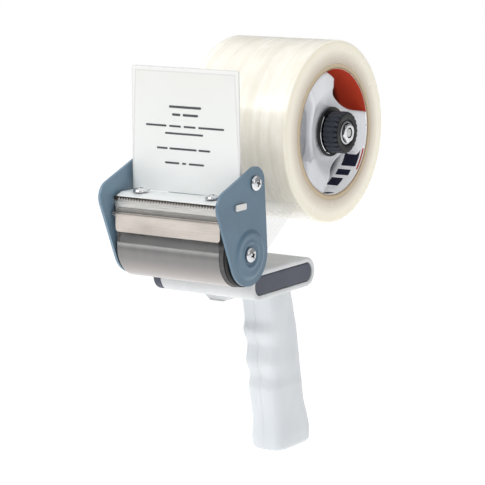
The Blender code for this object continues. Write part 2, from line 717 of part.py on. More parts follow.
def make_spindle():
    """Stepped spindle: collar and thread at the far plate, thread for the knob."""
    far_thread = 4.0 * MM
    collar = (-PLATE_IN_X + GAP, ROLL_FAR_X - 1.9 * MM)
    step = DISH_X + 0.1 * MM
    profile = [(0, SPINDLE_END_X), (THREAD_R, SPINDLE_END_X), (THREAD_R, step), (SPINDLE_R, step)]
    profile += [(SPINDLE_R, collar[1]), (8.5 * MM, collar[1]), (8.5 * MM, collar[0])]
    profile += [(far_thread, collar[0]), (far_thread, -50.0 * MM), (0, -50.0 * MM)]
    turned("hub_spindle", profile, HUB_AXIS, "zinc_steel", 24)
    bushing = (SPINDLE_R + 0.1 * MM, BUSH_R, ROLL_FAR_X - 1.4 * MM, DISH_X)
    ring("hub_bushing", *bushing, HUB_AXIS, "nylon", 24)
    hexagon = arc(HUB_AXIS, 7.5 * MM, 0, 300, 5)
    hole = arc(HUB_AXIS, far_thread + 0.2 * MM, 0, 345, 23)
    nut_far, nut_near = -PLATE_OUT_X - 6.9 * MM, -PLATE_OUT_X - 1.6 * MM
    extruded("spindle_nut", [hexagon, hole], nut_far, nut_near, "zinc_steel")
    ring("spindle_washer", far_thread + 0.3 * MM, 9.0 * MM,
         -PLATE_OUT_X - 1.3 * MM, -PLATE_OUT_X - GAP, HUB_AXIS, "zinc_steel", 24)


def make_brake():
    """Friction washer, spring cup, spring and thrust washer between hub and knob."""
    ring("brake_washer", THREAD_R + 0.4 * MM, 12.5 * MM,
         DISH_X + GAP, CUP_X - GAP, HUB_AXIS, "fibre", 32)
    floor = CUP_X + 1.2 * MM
    hole = THREAD_R + 0.3 * MM
    profile = [(9.2 * MM, CUP_X + 3.2 * MM), (9.2 * MM, floor), (15.0 * MM, floor), (15.0 * MM, CUP_X)]
    profile += [(hole, CUP_X), (hole, floor), (8.2 * MM, floor), (8.2 * MM, CUP_X + 3.2 * MM)]
    turned("spring_cup", profile, HUB_AXIS, "knob_plastic", 32, closed=True)
    washer = (THREAD_R + 0.3 * MM, 8.6 * MM, WASHER_X, WASHER_X + MM)
    ring("thrust_washer", *washer, HUB_AXIS, "zinc_steel", 24)
    coil_r, wire_r, turns, per_turn = 6.2 * MM, 0.7 * MM, 3, 12
    low, high = floor + wire_r + 0.2 * MM, WASHER_X - wire_r - 0.2 * MM
    points = []
    for i in range(turns * per_turn + 1):
        angle = 2 * math.pi * i / per_turn
        x = low + (high - low) * i / (turns * per_turn)
        points.append((x, REEL_Y + coil_r * math.cos(angle), REEL_Z + coil_r * math.sin(angle)))
    tube("tension_spring", points, wire_r, "zinc_steel")


def make_knob():
    """Fluted knob with its nut; both origins are on the spindle's axis."""
    cavity_r, cavity_end = 9.8 * MM, WASHER_X + MM + GAP
    recess_x = KNOB_FRONT_X - 1.4 * MM
    profile = [(KNOB_R - 1.6 * MM, KNOB_FRONT_X), (KNOB_R - 0.4 * MM, KNOB_FRONT_X - 0.6 * MM)]
    profile += [(KNOB_R, KNOB_FRONT_X - 1.8 * MM), (KNOB_R, KNOB_BACK_X), (cavity_r, KNOB_BACK_X)]
    profile += [(cavity_r, cavity_end), (NUT_R + 0.4 * MM, cavity_end), (NUT_R + 0.4 * MM, recess_x)]
    profile += [(RECESS_R, recess_x), (RECESS_R, KNOB_FRONT_X)]
    knob = turned("tension_knob", profile, HUB_AXIS, "knob_plastic", FLUTES * 2, closed=True)
    flutes = []
    for flute in range(FLUTES):
        angle = 2 * math.pi * (flute + 0.5) / FLUTES
        reach = KNOB_R + 0.5 * MM
        centre = (REEL_Y + reach * math.cos(angle), REEL_Z + reach * math.sin(angle))
        flutes.append(arc(centre, 1.0 * MM, 0, 270, 3))
    cut(knob, extruded("flute_cutter", flutes, KNOB_BACK_X - MM, KNOB_FRONT_X + MM))
    hexagon = arc(HUB_AXIS, NUT_R, 10, 310, 5)
    nut = extruded("knob_nut", [hexagon], cavity_end + 0.2 * MM, NUT_FRONT_X, "zinc_steel")
    flange = (RECESS_R - 0.5 * MM, recess_x + GAP, recess_x + 1.1 * MM)
    join(nut, rod("nut_flange", *flange, HUB_AXIS, steps=24))
    cut(nut, rod("nut_thread", THREAD_R + 0.2 * MM, WASHER_X, NUT_FRONT_X + MM, HUB_AXIS))
    move_origin(nut, (0, *HUB_AXIS))


# ---------------------------------------------------------------- handle

def block_outline(inset):
    """Side view of the crossbar, drawn in by inset all round."""
    radius = BLOCK_HALF_Z - inset - 0.3 * MM
    return rounded_rectangle((BLOCK_Y, BLOCK_Z), BLOCK_HALF_Y - inset, BLOCK_HALF_Z - inset, radius, 7)


def make_handle_block():
    """Hollow crossbar under the frame, with the nose under its front."""
    block = extruded("handle_block", [block_outline(0)], BLOCK_FAR_X, BLOCK_NEAR_X, "white_plastic")
    nose = [(-12.0, 53.0), (-4.6, 45.4), (4.6, 45.4), (12.0, 53.0)]
    nose = [(u * MM, v * MM) for u, v in nose]
    join(block, extruded("nose_guide", [nose], -59.0 * MM, -45.0 * MM, axis="Y"))
    hollow = [block_outline(BLOCK_WALL)]
    cut(block, extruded("block_hollow", hollow, BLOCK_FAR_X - MM, BLOCK_NEAR_X + MM))
    wall_low = BLOCK_Z + BLOCK_HALF_Z - BLOCK_WALL - MM
    for number, (x, y) in enumerate(BOLT_PLACES):
        hole = arc((x, y), BOLT_R + GAP, 0, 330, 11)
        cut(block, extruded(f"block_hole_{number}", [hole], wall_low, wall_low + 6 * MM, axis="Z"))
    return block


def make_end_caps():
    """Dark ends of the crossbar: a plug at the near end, a full cap at the far end."""
    plug = block_outline(BLOCK_WALL + GAP)
    depth = 5.0 * MM
    extruded("near_end_cap", [plug], BLOCK_NEAR_X - depth, BLOCK_NEAR_X - 0.4 * MM, "grey_plastic")
    cap = extruded("far_end_cap", [block_outline(0.2 * MM)], FAR_CAP_X, BLOCK_FAR_X - GAP, "grey_plastic")
    join(cap, extruded("far_plug", [plug], BLOCK_FAR_X - MM, BLOCK_FAR_X + depth))


def make_frame_bolts():
    """Bolts through the base flange into the crossbar."""
    top = BLOCK_Z + BLOCK_HALF_Z + PLATE_T + 2 * GAP
    profile = [(0, 2.4), (2.6, 2.2), (4.2, 1.2), (4.4, 0), (2.5, 0), (2.5, -7.4), (0, -7.4)]
    profile = [(r * MM, z * MM) for r, z in profile]
    for side, (x, y) in zip(("far", "near"), BOLT_PLACES):
        bolt = turned(side + "_frame_bolt", profile, (y, top), "zinc_steel", 18)
        bolt.rotation_euler = (0, 0, 0)
        bolt.location.x = x


def grip_section(station, inset):
    """Rounded section of the grip at one height."""
    height, front, back, half = station
    middle, depth = (front + back) / 2, (back - front) / 2
    count, power = 28, 0.5
    points = []
    for i in range(count):
        angle = 2 * math.pi * i / count
        c, s = math.cos(angle), math.sin(angle)
        u = (half * MM - inset) * math.copysign(abs(c) ** power, c)
        v = (depth * MM - inset) * math.copysign(abs(s) ** power, s)
        points.append((u, middle * MM + v, height * MM))
    return points


def loft(name, sections, finish=None):
    """Closed solid through sections with equal point counts."""
    work = bmesh.new()
    rings = [[work.verts.new(point) for point in section] for section in sections]
    for upper, lower in zip(rings, rings[1:]):
        for i in range(len(upper)):
            j = (i + 1) % len(upper)
            work.faces.new((upper[i], upper[j], lower[j], lower[i]))
    work.faces.new(rings[0])
    work.faces.new(rings[-1])
    bmesh.ops.recalc_face_normals(work, faces=work.faces)
    mesh = bpy.data.meshes.new(name)
    work.to_mesh(mesh)
    work.free()
    return smooth(place(bpy.data.objects.new(name, mesh), finish), 50)


def make_grip():
    """Two hollow grip shells that meet on the middle plane, and their screws."""
    outer = [grip_section(station, 0) for station in GRIP_STATIONS]
    hollow = [grip_section(station, GRIP_WALL) for station in GRIP_STATIONS[1:-2]]
    cavity = loft("grip_hollow", hollow)
    reach = 40 * MM
    for label, side in (("near", 1), ("far", -1)):
        shell = loft("grip_" + label, outer, "white_plastic")
        cut(shell, cavity)
        sides = sorted((-side * reach, side * GRIP_SPLIT))
        half = box(label + "_half", (sides[0], -reach, -2 * reach), (sides[1], reach * 1.1, 2 * reach))
        cut(shell, half)
        for number, (y, z) in enumerate(GRIP_SCREWS):
            span = grip_boss_span(side)
            boss = rod(f"{label}_boss_{number}", 4.0 * MM, *span, (y, z), steps=16)
            join(shell, boss)
            hole_span = (-9.0 * MM, 6.0 * MM)
            cut(shell, rod(f"{label}_pilot_{number}", 1.8 * MM, *hole_span, (y, z), steps=12))
            if side < 0:
                cut(shell, rod(f"counterbore_{number}", 3.6 * MM, -20 * MM, -8.5 * MM, (y, z), steps=16))


def grip_boss_span(side):
    """X range of a screw boss inside one grip shell."""
    return sorted((side * GRIP_SPLIT, side * 10.2 * MM))


def make_grip_screws():
    """Screws from the far side that pull the shells together."""
    profile = [(0, 5.0), (1.5, 5.0), (1.5, -8.8), (3.2, -8.8), (3.0, -10.4), (0, -10.6)]
    profile = [(r * MM, x * MM) for r, x in profile]
    for place_name, axis in zip(("top", "middle", "bottom"), GRIP_SCREWS):
        turned(place_name + "_grip_screw", profile, axis, "zinc_steel", 14)


# ---------------------------------------------------------------- assembly

def build():
    """Make every sub-part."""
    make_main_frame()
    make_near_side_plate()
    make_plate_screws()
    bored_bar("tie_rod", 4.0 * MM, TIE_AXIS)
    bored_bar("roller_axle", AXLE_R, ROLLER_AXIS)
    make_cross_bracket()
    make_cutting_blade()
    make_flap_foot()
    make_flap_screws()
    make_wiper_flap()
    make_tape_guard()
    make_guard_pin()
    make_guard_spring()
    make_roller()
    make_roll()
    make_tape_web()
    make_reel_hub()
    make_spindle()
    make_brake()
    make_knob()
    make_handle_block()
    make_end_caps()
    make_frame_bolts()
    make_grip()
    make_grip_screws()


build()
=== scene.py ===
"""Pistol-grip packing tape dispenser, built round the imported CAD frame."""

import math

import bmesh
import bpy
import numpy as np
from mathutils import Matrix, Vector


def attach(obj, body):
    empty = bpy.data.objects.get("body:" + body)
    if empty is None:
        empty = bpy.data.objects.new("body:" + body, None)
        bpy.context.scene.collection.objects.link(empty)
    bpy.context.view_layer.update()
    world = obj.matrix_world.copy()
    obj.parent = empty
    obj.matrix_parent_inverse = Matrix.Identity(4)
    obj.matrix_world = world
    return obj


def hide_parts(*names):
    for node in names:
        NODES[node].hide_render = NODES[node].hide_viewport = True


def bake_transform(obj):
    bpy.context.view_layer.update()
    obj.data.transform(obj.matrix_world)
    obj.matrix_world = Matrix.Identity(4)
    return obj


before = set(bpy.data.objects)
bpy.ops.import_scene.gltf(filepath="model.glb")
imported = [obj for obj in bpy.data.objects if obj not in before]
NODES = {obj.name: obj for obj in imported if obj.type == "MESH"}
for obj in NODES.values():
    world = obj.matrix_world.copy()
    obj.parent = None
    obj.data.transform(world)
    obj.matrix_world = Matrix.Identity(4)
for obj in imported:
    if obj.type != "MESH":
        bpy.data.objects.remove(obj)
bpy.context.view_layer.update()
MM = 0.001

# Main sizes in millimetres, as in the CAD model; pairs are (y, z) of an axis along X.
HUB = (18.0, 140.0)
ROLLER = (-85.4, 81.6)
TIE = (-79.3, 122.0)
PIN = (-99.3, 103.6)
ROLL_R, CORE_R, BORE_R = 55.3, 41.0, 38.1
NEAR_X, FAR_X = 34.0, -38.0
PLATE_OUT, PLATE_IN = 42.0, 40.4
BASE_TOP = 70.5
BOLT_Y, FAR_BOLT_X, NEAR_BOLT_X = -38.0, -21.0, -6.0
HUB_BACK, HUB_FACE, DISH_FLOOR = -39.4, 33.4, 29.4
KNOB_BACK, KNOB_FRONT, KNOB_R = 33.2, 42.8, 12.7
BLOCK = (-41.0, 59.8)
BLOCK_HALF_Y, BLOCK_HALF_Z = 33.2, 8.8
FLAP_TOP, FLAP_HALF, FLAP_TOP_HALF = 186.2, 38.0, 37.6
FLAP_FRONT, FLAP_BACK = -88.4, -87.6


# ---- materials

def srgb(r, g, b):
    """Linear colour of an sRGB colour given as 0 to 255."""
    out = []
    for value in (r, g, b):
        c = value / 255
        out.append(c / 12.92 if c <= 0.04045 else ((c + 0.055) / 1.055) ** 2.4)
    return (*out, 1.0)


class Nodes:
    """The node tree of a new material or world, with short calls for what is used here."""

    def __init__(self, name, kind="materials", shader="Principled BSDF", **sockets):
        self.block = getattr(bpy.data, kind).new(name)
        self.block.use_nodes = True
        self.tree = self.block.node_tree
        self.shader = self.tree.nodes[shader]
        self.set(**sockets)

    def add(self, kind, inputs=None, **settings):
        node = self.tree.nodes.new(kind)
        for key, value in settings.items():
            setattr(node, key, value)
        for key, value in (inputs or {}).items():
            node.inputs[key].default_value = value
        return node

    def link(self, source, target):
        """Links to a node's socket, or to the shader's socket of that name."""
        self.tree.links.new(source, self.shader.inputs[target] if isinstance(target, str) else target)

    def set(self, **values):
        """Constants on the shader's sockets; underscores stand for spaces."""
        for key, value in values.items():
            self.shader.inputs[key.replace("_", " ")].default_value = value

    def millimetres(self, stretch=(1, 1, 1)):
        """Object coordinates in millimetres, scaled per axis."""
        node = self.add("ShaderNodeMapping", {"Scale": [1000 * s for s in stretch]})
        self.link(self.add("ShaderNodeTexCoord").outputs["Object"], node.inputs["Vector"])
        return node.outputs["Vector"]

    def along(self, axis, source=None):
        """One coordinate, in millimetres of the object unless a source is given."""
        split = self.add("ShaderNodeSeparateXYZ")
        self.link(source or self.millimetres(), split.inputs[0])
        return split.outputs[axis]

    def noise(self, scale, stretch=(1, 1, 1), detail=3.0, rough=0.5):
        node = self.add("ShaderNodeTexNoise", {"Scale": scale, "Detail": detail, "Roughness": rough})
        self.link(self.millimetres(stretch), node.inputs["Vector"])
        return node.outputs["Fac"]

    def rings(self, radius, scale, detail, rough=0.5):
        """Noise that changes with the radius only."""
        node = self.add("ShaderNodeTexNoise", {"Scale": scale, "Detail": detail, "Roughness": rough},
                        noise_dimensions="1D")
        self.link(radius, node.inputs["W"])
        return node.outputs["Fac"]

    def math(self, operation, a, b=0.0):
        node = self.add("ShaderNodeMath", operation=operation)
        for value, socket in zip((a, b), node.inputs):
            if isinstance(value, (int, float)):
                socket.default_value = value
            else:
                self.link(value, socket)
        return node.outputs[0]

    def weigh(self, a, b, share):
        """Share of a and the rest of b."""
        return self.math("ADD", self.math("MULTIPLY", a, share), self.math("MULTIPLY", b, 1 - share))

    def ramp(self, value, low, high, to_low=0.0, to_high=1.0, smooth=False):
        node = self.add("ShaderNodeMapRange",
                        {"From Min": low, "From Max": high, "To Min": to_low, "To Max": to_high},
                        interpolation_type="SMOOTHSTEP" if smooth else "LINEAR")
        self.link(value, node.inputs["Value"])
        return node.outputs["Result"]

    def step(self, value, start, end):
        """Smooth change from 0 at start to 1 at end, whichever is larger."""
        falls = start > end
        return self.ramp(value, min(start, end), max(start, end), float(falls), float(not falls), True)

    def tone(self, *noise, **more):
        """Noise spread over 0 to 1."""
        return self.ramp(self.noise(*noise, **more), 0.3, 0.7)

    def mix(self, factor, a, b):
        """Two colours mixed; a tuple is sRGB from 0 to 255."""
        node = self.add("ShaderNodeMix", data_type="RGBA")
        self.link(factor, node.inputs[0])
        for value, socket in ((a, node.inputs[6]), (b, node.inputs[7])):
            if isinstance(value, tuple):
                socket.default_value = srgb(*value)
            else:
                self.link(value, socket)
        return node.outputs[2]

    def axis_distance(self, centre):
        """Distance in millimetres from an axis along X through centre (y, z)."""
        squares = []
        for axis, middle in zip("YZ", centre):
            offset = self.math("SUBTRACT", self.along(axis), middle)
            squares.append(self.math("MULTIPLY", offset, offset))
        return self.math("SQRT", self.math("ADD", *squares))

    def done(self, colour, rough, bumps, strength):
        """The finished material.

        rough is (low, high, noise); bumps are (height, depth in millimetres), one after another.
        """
        self.link(colour, "Base Color")
        low, high, noise = rough
        self.link(self.ramp(noise, 0.3, 0.7, low, high), "Roughness")
        normal = None
        for height, depth in bumps:
            node = self.add("ShaderNodeBump", {"Strength": strength, "Distance": depth * MM})
            self.link(height, node.inputs["Height"])
            if normal is not None:
                self.link(normal, node.inputs["Normal"])
            normal = node.outputs["Normal"]
        self.link(normal, "Normal")
        return self.block


def surface(name, dark, light, rough, grain, metallic=0.0, painted_recess_shade=0.0):
    """Two tones by broad noise, roughness by mid noise and a fine bump.

    rough is (low, high); grain is (scale per mm, depth in mm); the last argument is the reach in mm of
    painted shade that darkens narrow recesses.
    """
    n = Nodes(name, Metallic=metallic)
    colour = n.mix(n.tone(0.08), dark, light)
    # painted shade: ambient occlusion darkens the colour in narrow recesses
    if painted_recess_shade:
        shade = n.add("ShaderNodeAmbientOcclusion", {"Distance": painted_recess_shade * MM}, samples=6)
        colour = n.mix(n.ramp(shade.outputs["AO"], 0.35, 0.85), (24, 24, 26), colour)
    scale, depth = grain
    return n.done(colour, (*rough, n.noise(0.6, detail=4.0)), [(n.noise(scale, detail=2.0), depth)], 1.0)


def painted_steel():
    """Satin paint with orange peel and a little dust, with painted light that makes the far plate paler."""
    n = Nodes("blue_grey_paint", IOR=1.5, Coat_Weight=0.25, Coat_Roughness=0.22)
    body = n.mix(n.tone(0.045, detail=2.0), (82, 109, 129), (91, 119, 139))
    # painted light: the far plate's paint is made paler than the near plate's
    body = n.mix(n.ramp(n.along("X"), -40.6, -30.0, 1.0, 0.0), body, (112, 138, 157))
    specks = n.math("MULTIPLY", n.ramp(n.noise(2.4, detail=1.0), 0.70, 0.78), 0.35)
    return n.done(n.mix(specks, body, (140, 156, 168)), (0.36, 0.46, n.noise(0.35, detail=4.0)),
                  [(n.noise(1.1, detail=1.0), 0.02), (n.noise(6.0), 0.004)], 0.8)


def brushed_steel(name, dark, light, rough):
    """Steel with fine lines along X."""
    n = Nodes(name, Metallic=1.0)
    lines = n.noise(1.0, (0.05, 6.0, 6.0), 4.0, 0.6)
    tone = n.weigh(lines, n.noise(0.07, (0.6, 1.5, 1.5), 2.0), 0.5)
    return n.done(n.mix(n.ramp(tone, 0.35, 0.65), dark, light), (*rough, lines), [(lines, 0.006)], 0.7)


def bracket_steel():
    """Galvanised sheet: bright peened tabs, and painted shade that turns the flange behind the blade dark
    brown.
    """
    n = Nodes("galvanised_steel", Metallic=0.5)
    broad = n.tone(0.12, (0.4, 1, 1))
    sheet = n.mix(broad, (168, 166, 163), (196, 194, 190))
    # painted shade: the flange behind the blade, in shadow, is dark brown
    flange_shade = n.mix(broad, (60, 49, 40), (76, 64, 54))
    body = n.mix(n.step(n.along("Y"), -103.2, -103.9), sheet, flange_shade)
    tab = n.step(n.math("ABSOLUTE", n.along("X")), 40.5, 41.5)
    return n.done(n.mix(tab, body, (222, 221, 219)), (0.32, 0.46, n.noise(0.6, detail=4.0)),
                  [(n.noise(0.8), 0.01)], 1.0)


def moulded(name, dark, light, rough, glow):
    """Satin moulded plastic with flow marks and a fine texture; glow scatters light."""
    n = Nodes(name, IOR=1.46)
    if glow:
        n.set(Subsurface_Weight=glow, Subsurface_Scale=0.003, Subsurface_Radius=(1.0, 0.95, 0.9))
    return n.done(n.mix(n.tone(0.04, (1, 1, 0.4), 2.0), dark, light), (*rough, n.noise(0.5, detail=4.0)),
                  [(n.noise(0.12, detail=1.0), 0.05), (n.noise(4.0), 0.004)], 0.7)


def knob_plastic():
    """Blue-black plastic, with painted shade that darkens the knob's front face and the cup behind it."""
    n = Nodes("black_knob", IOR=1.42)
    x = n.along("X")
    # painted shade: the front face and the cup behind the knob are darkened
    face = n.step(x, KNOB_FRONT - 0.7, KNOB_FRONT - 0.1)
    behind = n.step(x, KNOB_BACK, KNOB_BACK - 0.6)
    side = n.mix(n.tone(0.2, detail=2.0), (40, 45, 54), (52, 57, 67))
    return n.done(n.mix(n.math("MAXIMUM", face, behind), side, (19, 19, 23)),
                  (0.36, 0.50, n.noise(0.5, detail=4.0)),
                  [(n.noise(0.5, detail=1.0), 0.04), (n.noise(3.0), 0.01)], 0.8)


def flap_plastic():
    """Translucent sheet with a painted lighter border for light that comes in through its edges, edged by a
    faint line on each side.
    """
    n = Nodes("flap_sheet", IOR=1.5, Subsurface_Weight=0.35, Subsurface_Scale=0.004,
              Subsurface_Radius=(1.0, 1.0, 1.0), Coat_Weight=0.15, Coat_Roughness=0.2)
    side, z = n.math("ABSOLUTE", n.along("X")), n.along("Z")

    def past(low, high, top):
        """Distance beyond a line that tapers from low to high and runs across at top."""
        taper = n.ramp(z, 128.0, 184.0, low, high)
        return n.math("MAXIMUM", n.math("SUBTRACT", side, taper), n.math("SUBTRACT", z, top))

    inner = past(37.4, 34.8, 183.5)
    inner_line = n.step(n.math("ABSOLUTE", inner), 0.6, 0.25)
    outer_line = n.step(past(FLAP_HALF, FLAP_TOP_HALF, FLAP_TOP), -0.7, -0.4)
    body = n.mix(n.ramp(z, 114.0, 184.0), (227, 231, 231), (216, 216, 212))
    cloudy = n.ramp(n.noise(0.05, detail=2.0), 0.3, 0.7, 0.0, 0.5)
    body = n.mix(cloudy, body, (220, 222, 220))
    # painted light: the border beyond the inner line is lighter, for light through the sheet's edges
    body = n.mix(n.step(inner, -0.1, 0.2), body, (222, 223, 220))
    return n.done(n.mix(n.math("MAXIMUM", inner_line, outer_line), body, (208, 209, 207)),
                  (0.30, 0.40, n.noise(0.4, detail=4.0)),
                  [(n.noise(0.05, detail=1.0), 0.12), (n.noise(3.0), 0.003)], 0.6)


def rubber():
    """Black rubber, ground lengthwise and dusty grey, with painted shade that makes its ends near black."""
    n = Nodes("roller_rubber", IOR=1.45)
    body = n.mix(n.tone(0.3, (0.4, 1, 1), 4.0), (66, 65, 66), (90, 89, 90))
    # painted shade: the sleeve's ends, in shadow beside the plates, are near black
    end = n.step(n.math("ABSOLUTE", n.along("X")), 36.4, 36.9)
    return n.done(n.mix(end, body, (24, 23, 24)), (0.42, 0.58, n.noise(1.5)),
                  [(n.noise(2.5, (3.0, 0.3, 0.3)), 0.01), (n.noise(5.0), 0.01)], 0.8)


def wound_film():
    """Clear film wound on itself: streaks round the outside, fine rings on the ends, and a painted glow by
    emission for light that comes through the film.
    """
    # painted light: the film emits a little warm light of its own
    n = Nodes("wound_film", IOR=1.5, Subsurface_Weight=0.55, Subsurface_Scale=0.010,
              Subsurface_Radius=(1.0, 0.9, 0.65), Coat_Weight=0.35, Coat_Roughness=0.12,
              Emission_Color=srgb(252, 249, 240), Emission_Strength=0.24)
    radius = n.axis_distance(HUB)
    end = n.step(radius, ROLL_R - 0.5, ROLL_R - 1.2)
    streaks = n.weigh(n.noise(1.0, (0.16, 0.010, 0.010), 4.0, 0.62),
                      n.noise(1.0, (0.05, 0.035, 0.035), 3.0, 0.6), 0.6)
    wrap = n.mix(n.ramp(streaks, 0.38, 0.62), (203, 198, 183), (228, 225, 217))
    rings = n.rings(radius, 1.6, 5.0, 0.7)
    outwards = n.math("POWER", n.ramp(radius, CORE_R - 0.5, CORE_R + 8.5), 0.9)
    face = n.mix(outwards, (124, 98, 62), (213, 208, 192))
    face = n.mix(n.step(radius, ROLL_R - 4.5, ROLL_R - 1.0), face, (206, 200, 181))
    face = n.mix(n.math("MULTIPLY", n.ramp(rings, 0.3, 0.7), 0.16), face, (206, 198, 176))
    swell = n.noise(1.0, (0.12, 0.008, 0.008), 2.0)
    return n.done(n.mix(end, wrap, face), (0.16, 0.30, n.noise(0.3, (1, 0.2, 0.2), 4.0)),
                  [(n.math("MULTIPLY", rings, end), 0.12), (swell, 0.10)], 0.7)


def film():
    """The threaded tape: clear in the open, grey where it lies on the roller, with painted shade under the
    guard and a painted reflection of the floor lower down.
    """
    n = Nodes("clear_film")
    z = n.along("Z")
    on_roller = n.step(n.axis_distance(ROLLER), 19.6, 19.15)
    streak = n.tone(1.0, (0.10, 0.02, 0.02), 4.0, 0.6)
    clear = n.mix(streak, (233, 233, 230), (246, 246, 244))
    # painted shade towards the top under the guard, painted reflection of the floor towards the bottom
    middle = n.mix(n.step(z, 77.0, 86.5), (116, 114, 113), (64, 64, 68))
    lower = n.mix(n.step(z, 65.0, 78.0), (166, 159, 156), middle)
    laid = n.mix(n.math("MULTIPLY", streak, 0.12), lower, (150, 148, 146))
    front = n.ramp(n.along("Y"), -103.0, -102.0, 1.0, 0.0)
    rising = n.math("MULTIPLY", front, n.ramp(z, 90.0, 103.0, -0.08, 0.04))
    n.link(n.math("MAXIMUM", on_roller, n.math("ADD", rising, 0.12)), "Alpha")
    n.link(n.ramp(on_roller, 0.0, 1.0, 1.40, 1.6), "IOR")
    return n.done(n.mix(on_roller, clear, laid), (0.14, 0.24, n.noise(0.4, (1, 0.3, 0.3))),
                  [(n.noise(1.0, (0.12, 0.05, 0.05), 2.0), 0.10)], 0.5)


def card():
    """Wound grey-brown card with paper layers on its ends."""
    n = Nodes("core_card")
    radius = n.axis_distance(HUB)
    layers = n.rings(radius, 3.0, 3.0)
    fibre = n.noise(0.8, detail=5.0, rough=0.7)
    tone = n.ramp(n.weigh(layers, fibre, 0.6), 0.35, 0.65)
    raw = n.mix(tone, (150, 130, 102), (182, 163, 136))
    return n.done(n.mix(n.step(radius, BORE_R + 0.3, BORE_R + 1.4), raw, (203, 186, 158)),
                  (0.8, 0.95, fibre), [(layers, 0.15), (fibre, 0.04)], 0.8)


def paper(name, dark, light, lit=0.0, painted_depth_shade=None):
    """Printed or plain paper; lit is light that comes through the film round it.

    The last argument, (x, x, colour), is painted shade: from the second x in to the first, deeper in the
    core, the paper turns to that colour.
    """
    n = Nodes(name, IOR=1.45, Emission_Strength=lit)
    fibre = n.noise(1.2, detail=5.0, rough=0.7)
    colour = n.mix(n.ramp(fibre, 0.3, 0.7), dark, light)
    # painted shade: the paper darkens deeper inside the core
    if painted_depth_shade:
        inner, outer, shade = painted_depth_shade
        colour = n.mix(n.step(n.along("X"), outer, inner), colour, shade)
    n.link(colour, "Emission Color")
    return n.done(colour, (0.42, 0.6, n.noise(0.4)), [(fibre, 0.02)], 0.6)


# Each look is a material and the record's slot it stands for.
PAINT = painted_steel(), "painted_steel"
# Zinc and polished zinc get painted shade in their recesses.
ZINC = surface("bright_zinc", (176, 176, 178), (212, 212, 214), (0.16, 0.30), (3.0, 0.006),
               1.0, 1.6), "zinc_steel"
CHROME = surface("polished_zinc", (206, 207, 210), (238, 239, 241), (0.08, 0.16), (2.0, 0.004),
                 1.0, 1.6), "zinc_steel"
BLADE = brushed_steel("blade_steel", (190, 188, 185), (226, 224, 221), (0.34, 0.46)), "blade_steel"
GUARD = brushed_steel("guard_steel", (186, 178, 170), (218, 210, 203), (0.20, 0.30)), "guard_steel"
WHITE = moulded("white_moulding", (205, 208, 210), (218, 220, 221), (0.34, 0.44), 0.12), "white_plastic"
GRIP = moulded("grip_moulding", (212, 217, 221), (224, 228, 231), (0.30, 0.40), 0.20), "white_plastic"
HUB_WHITE = moulded("hub_moulding", (214, 216, 221), (230, 231, 235), (0.16, 0.26), 0.10), "white_plastic"
CAP = moulded("grey_cap", (72, 76, 89), (83, 87, 100), (0.45, 0.58), 0.0), "grey_plastic"
KNOB = knob_plastic(), "knob_plastic"
NYLON = moulded("natural_nylon", (206, 202, 190), (222, 219, 208), (0.40, 0.50), 0.15), "nylon"
FIBRE = surface("red_fibre", (110, 52, 38), (140, 70, 50), (0.7, 0.85), (2.0, 0.03)), "fibre"
RUBBER = rubber(), "rubber"
FLAP = flap_plastic(), "flap_plastic"
INK = surface("grey_ink", (58, 60, 64), (78, 80, 84), (0.4, 0.5), (3.0, 0.002)), "grey_plastic"
FILM_ROLL = wound_film(), "clear_tape"
FILM = film(), "clear_tape"
CARD = card(), "card"
# The lining and the orange panel carry painted shade deeper inside the core.
LINER = paper("white_liner", (240, 241, 243), (250, 250, 251), 0.22, (14.0, 20.0, (98, 98, 102))), "card"
ORANGE = paper("orange_print", (192, 62, 38), (206, 72, 44), 0.10, (12.0, 17.0, (92, 28, 20))), "card"
NAVY = paper("navy_print", (30, 34, 58), (40, 44, 70)), "card"


# ---- mesh helpers

def fillet(points, radius, closed=False, steps=5):
    """Rounds the corners of a polyline; radius is a number or one per point."""
    count = len(points)
    radii = [radius] * count if isinstance(radius, (int, float)) else radius
    out = []
    for i, point in enumerate(points):
        if not closed and i in (0, count - 1) or radii[i] <= 0:
            out.append(point)
            continue
        p = np.array(point, float)
        a = np.array(points[i - 1], float) - p
        b = np.array(points[(i + 1) % count], float) - p
        la, lb = np.linalg.norm(a), np.linalg.norm(b)
        cosine = float(np.clip(a @ b / (la * lb), -1, 1))
        half = math.acos(cosine) / 2
        if half > math.radians(87):
            out.append(point)
            continue
        reach = min(radii[i] / math.tan(half), 0.48 * la, 0.48 * lb)
        start, end = p + a / la * reach, p + b / lb * reach
        for k in range(steps + 1):
            t = k / steps
            out.append(tuple((1 - t) ** 2 * start + 2 * t * (1 - t) * p + t * t * end))
    return out


def arc(centre, radius, start, end, steps):
    """Points along an arc, angles in degrees."""
    angles = np.radians(np.linspace(start, end, steps + 1))
    return [(centre[0] + radius * math.cos(a), centre[1] + radius * math.sin(a)) for a in angles]


def hull(circles, steps=180):
    """Outline of a belt round circles (u, v, radius)."""
    points = []
    for i in range(steps):
        angle = 2 * math.pi * i / steps
        u, v = math.cos(angle), math.sin(angle)
        best = max(circles, key=lambda c: c[0] * u + c[1] * v + c[2])
        point = (best[0] + best[2] * u, best[1] + best[2] * v)
        if not points or math.dist(points[-1], point) > 1e-4:
            points.append(point)
    return points


def finish(obj, look, body, *nodes, angle=32, onto=None):
    """Shades and rides a piece that stands for nodes, and hides those nodes.

    onto, (body, start, end) for a piece that spans two bodies, keeps the piece where it stands instead of
    riding its body.
    """
    material, slot = look
    obj.data.materials.clear()
    obj.data.materials.append(material)
    obj.data.shade_smooth()
    obj.data.set_sharp_from_angle(angle=math.radians(angle))
    if onto:
        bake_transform(obj)
    else:
        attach(obj, body)
    if nodes:
        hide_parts(*nodes)


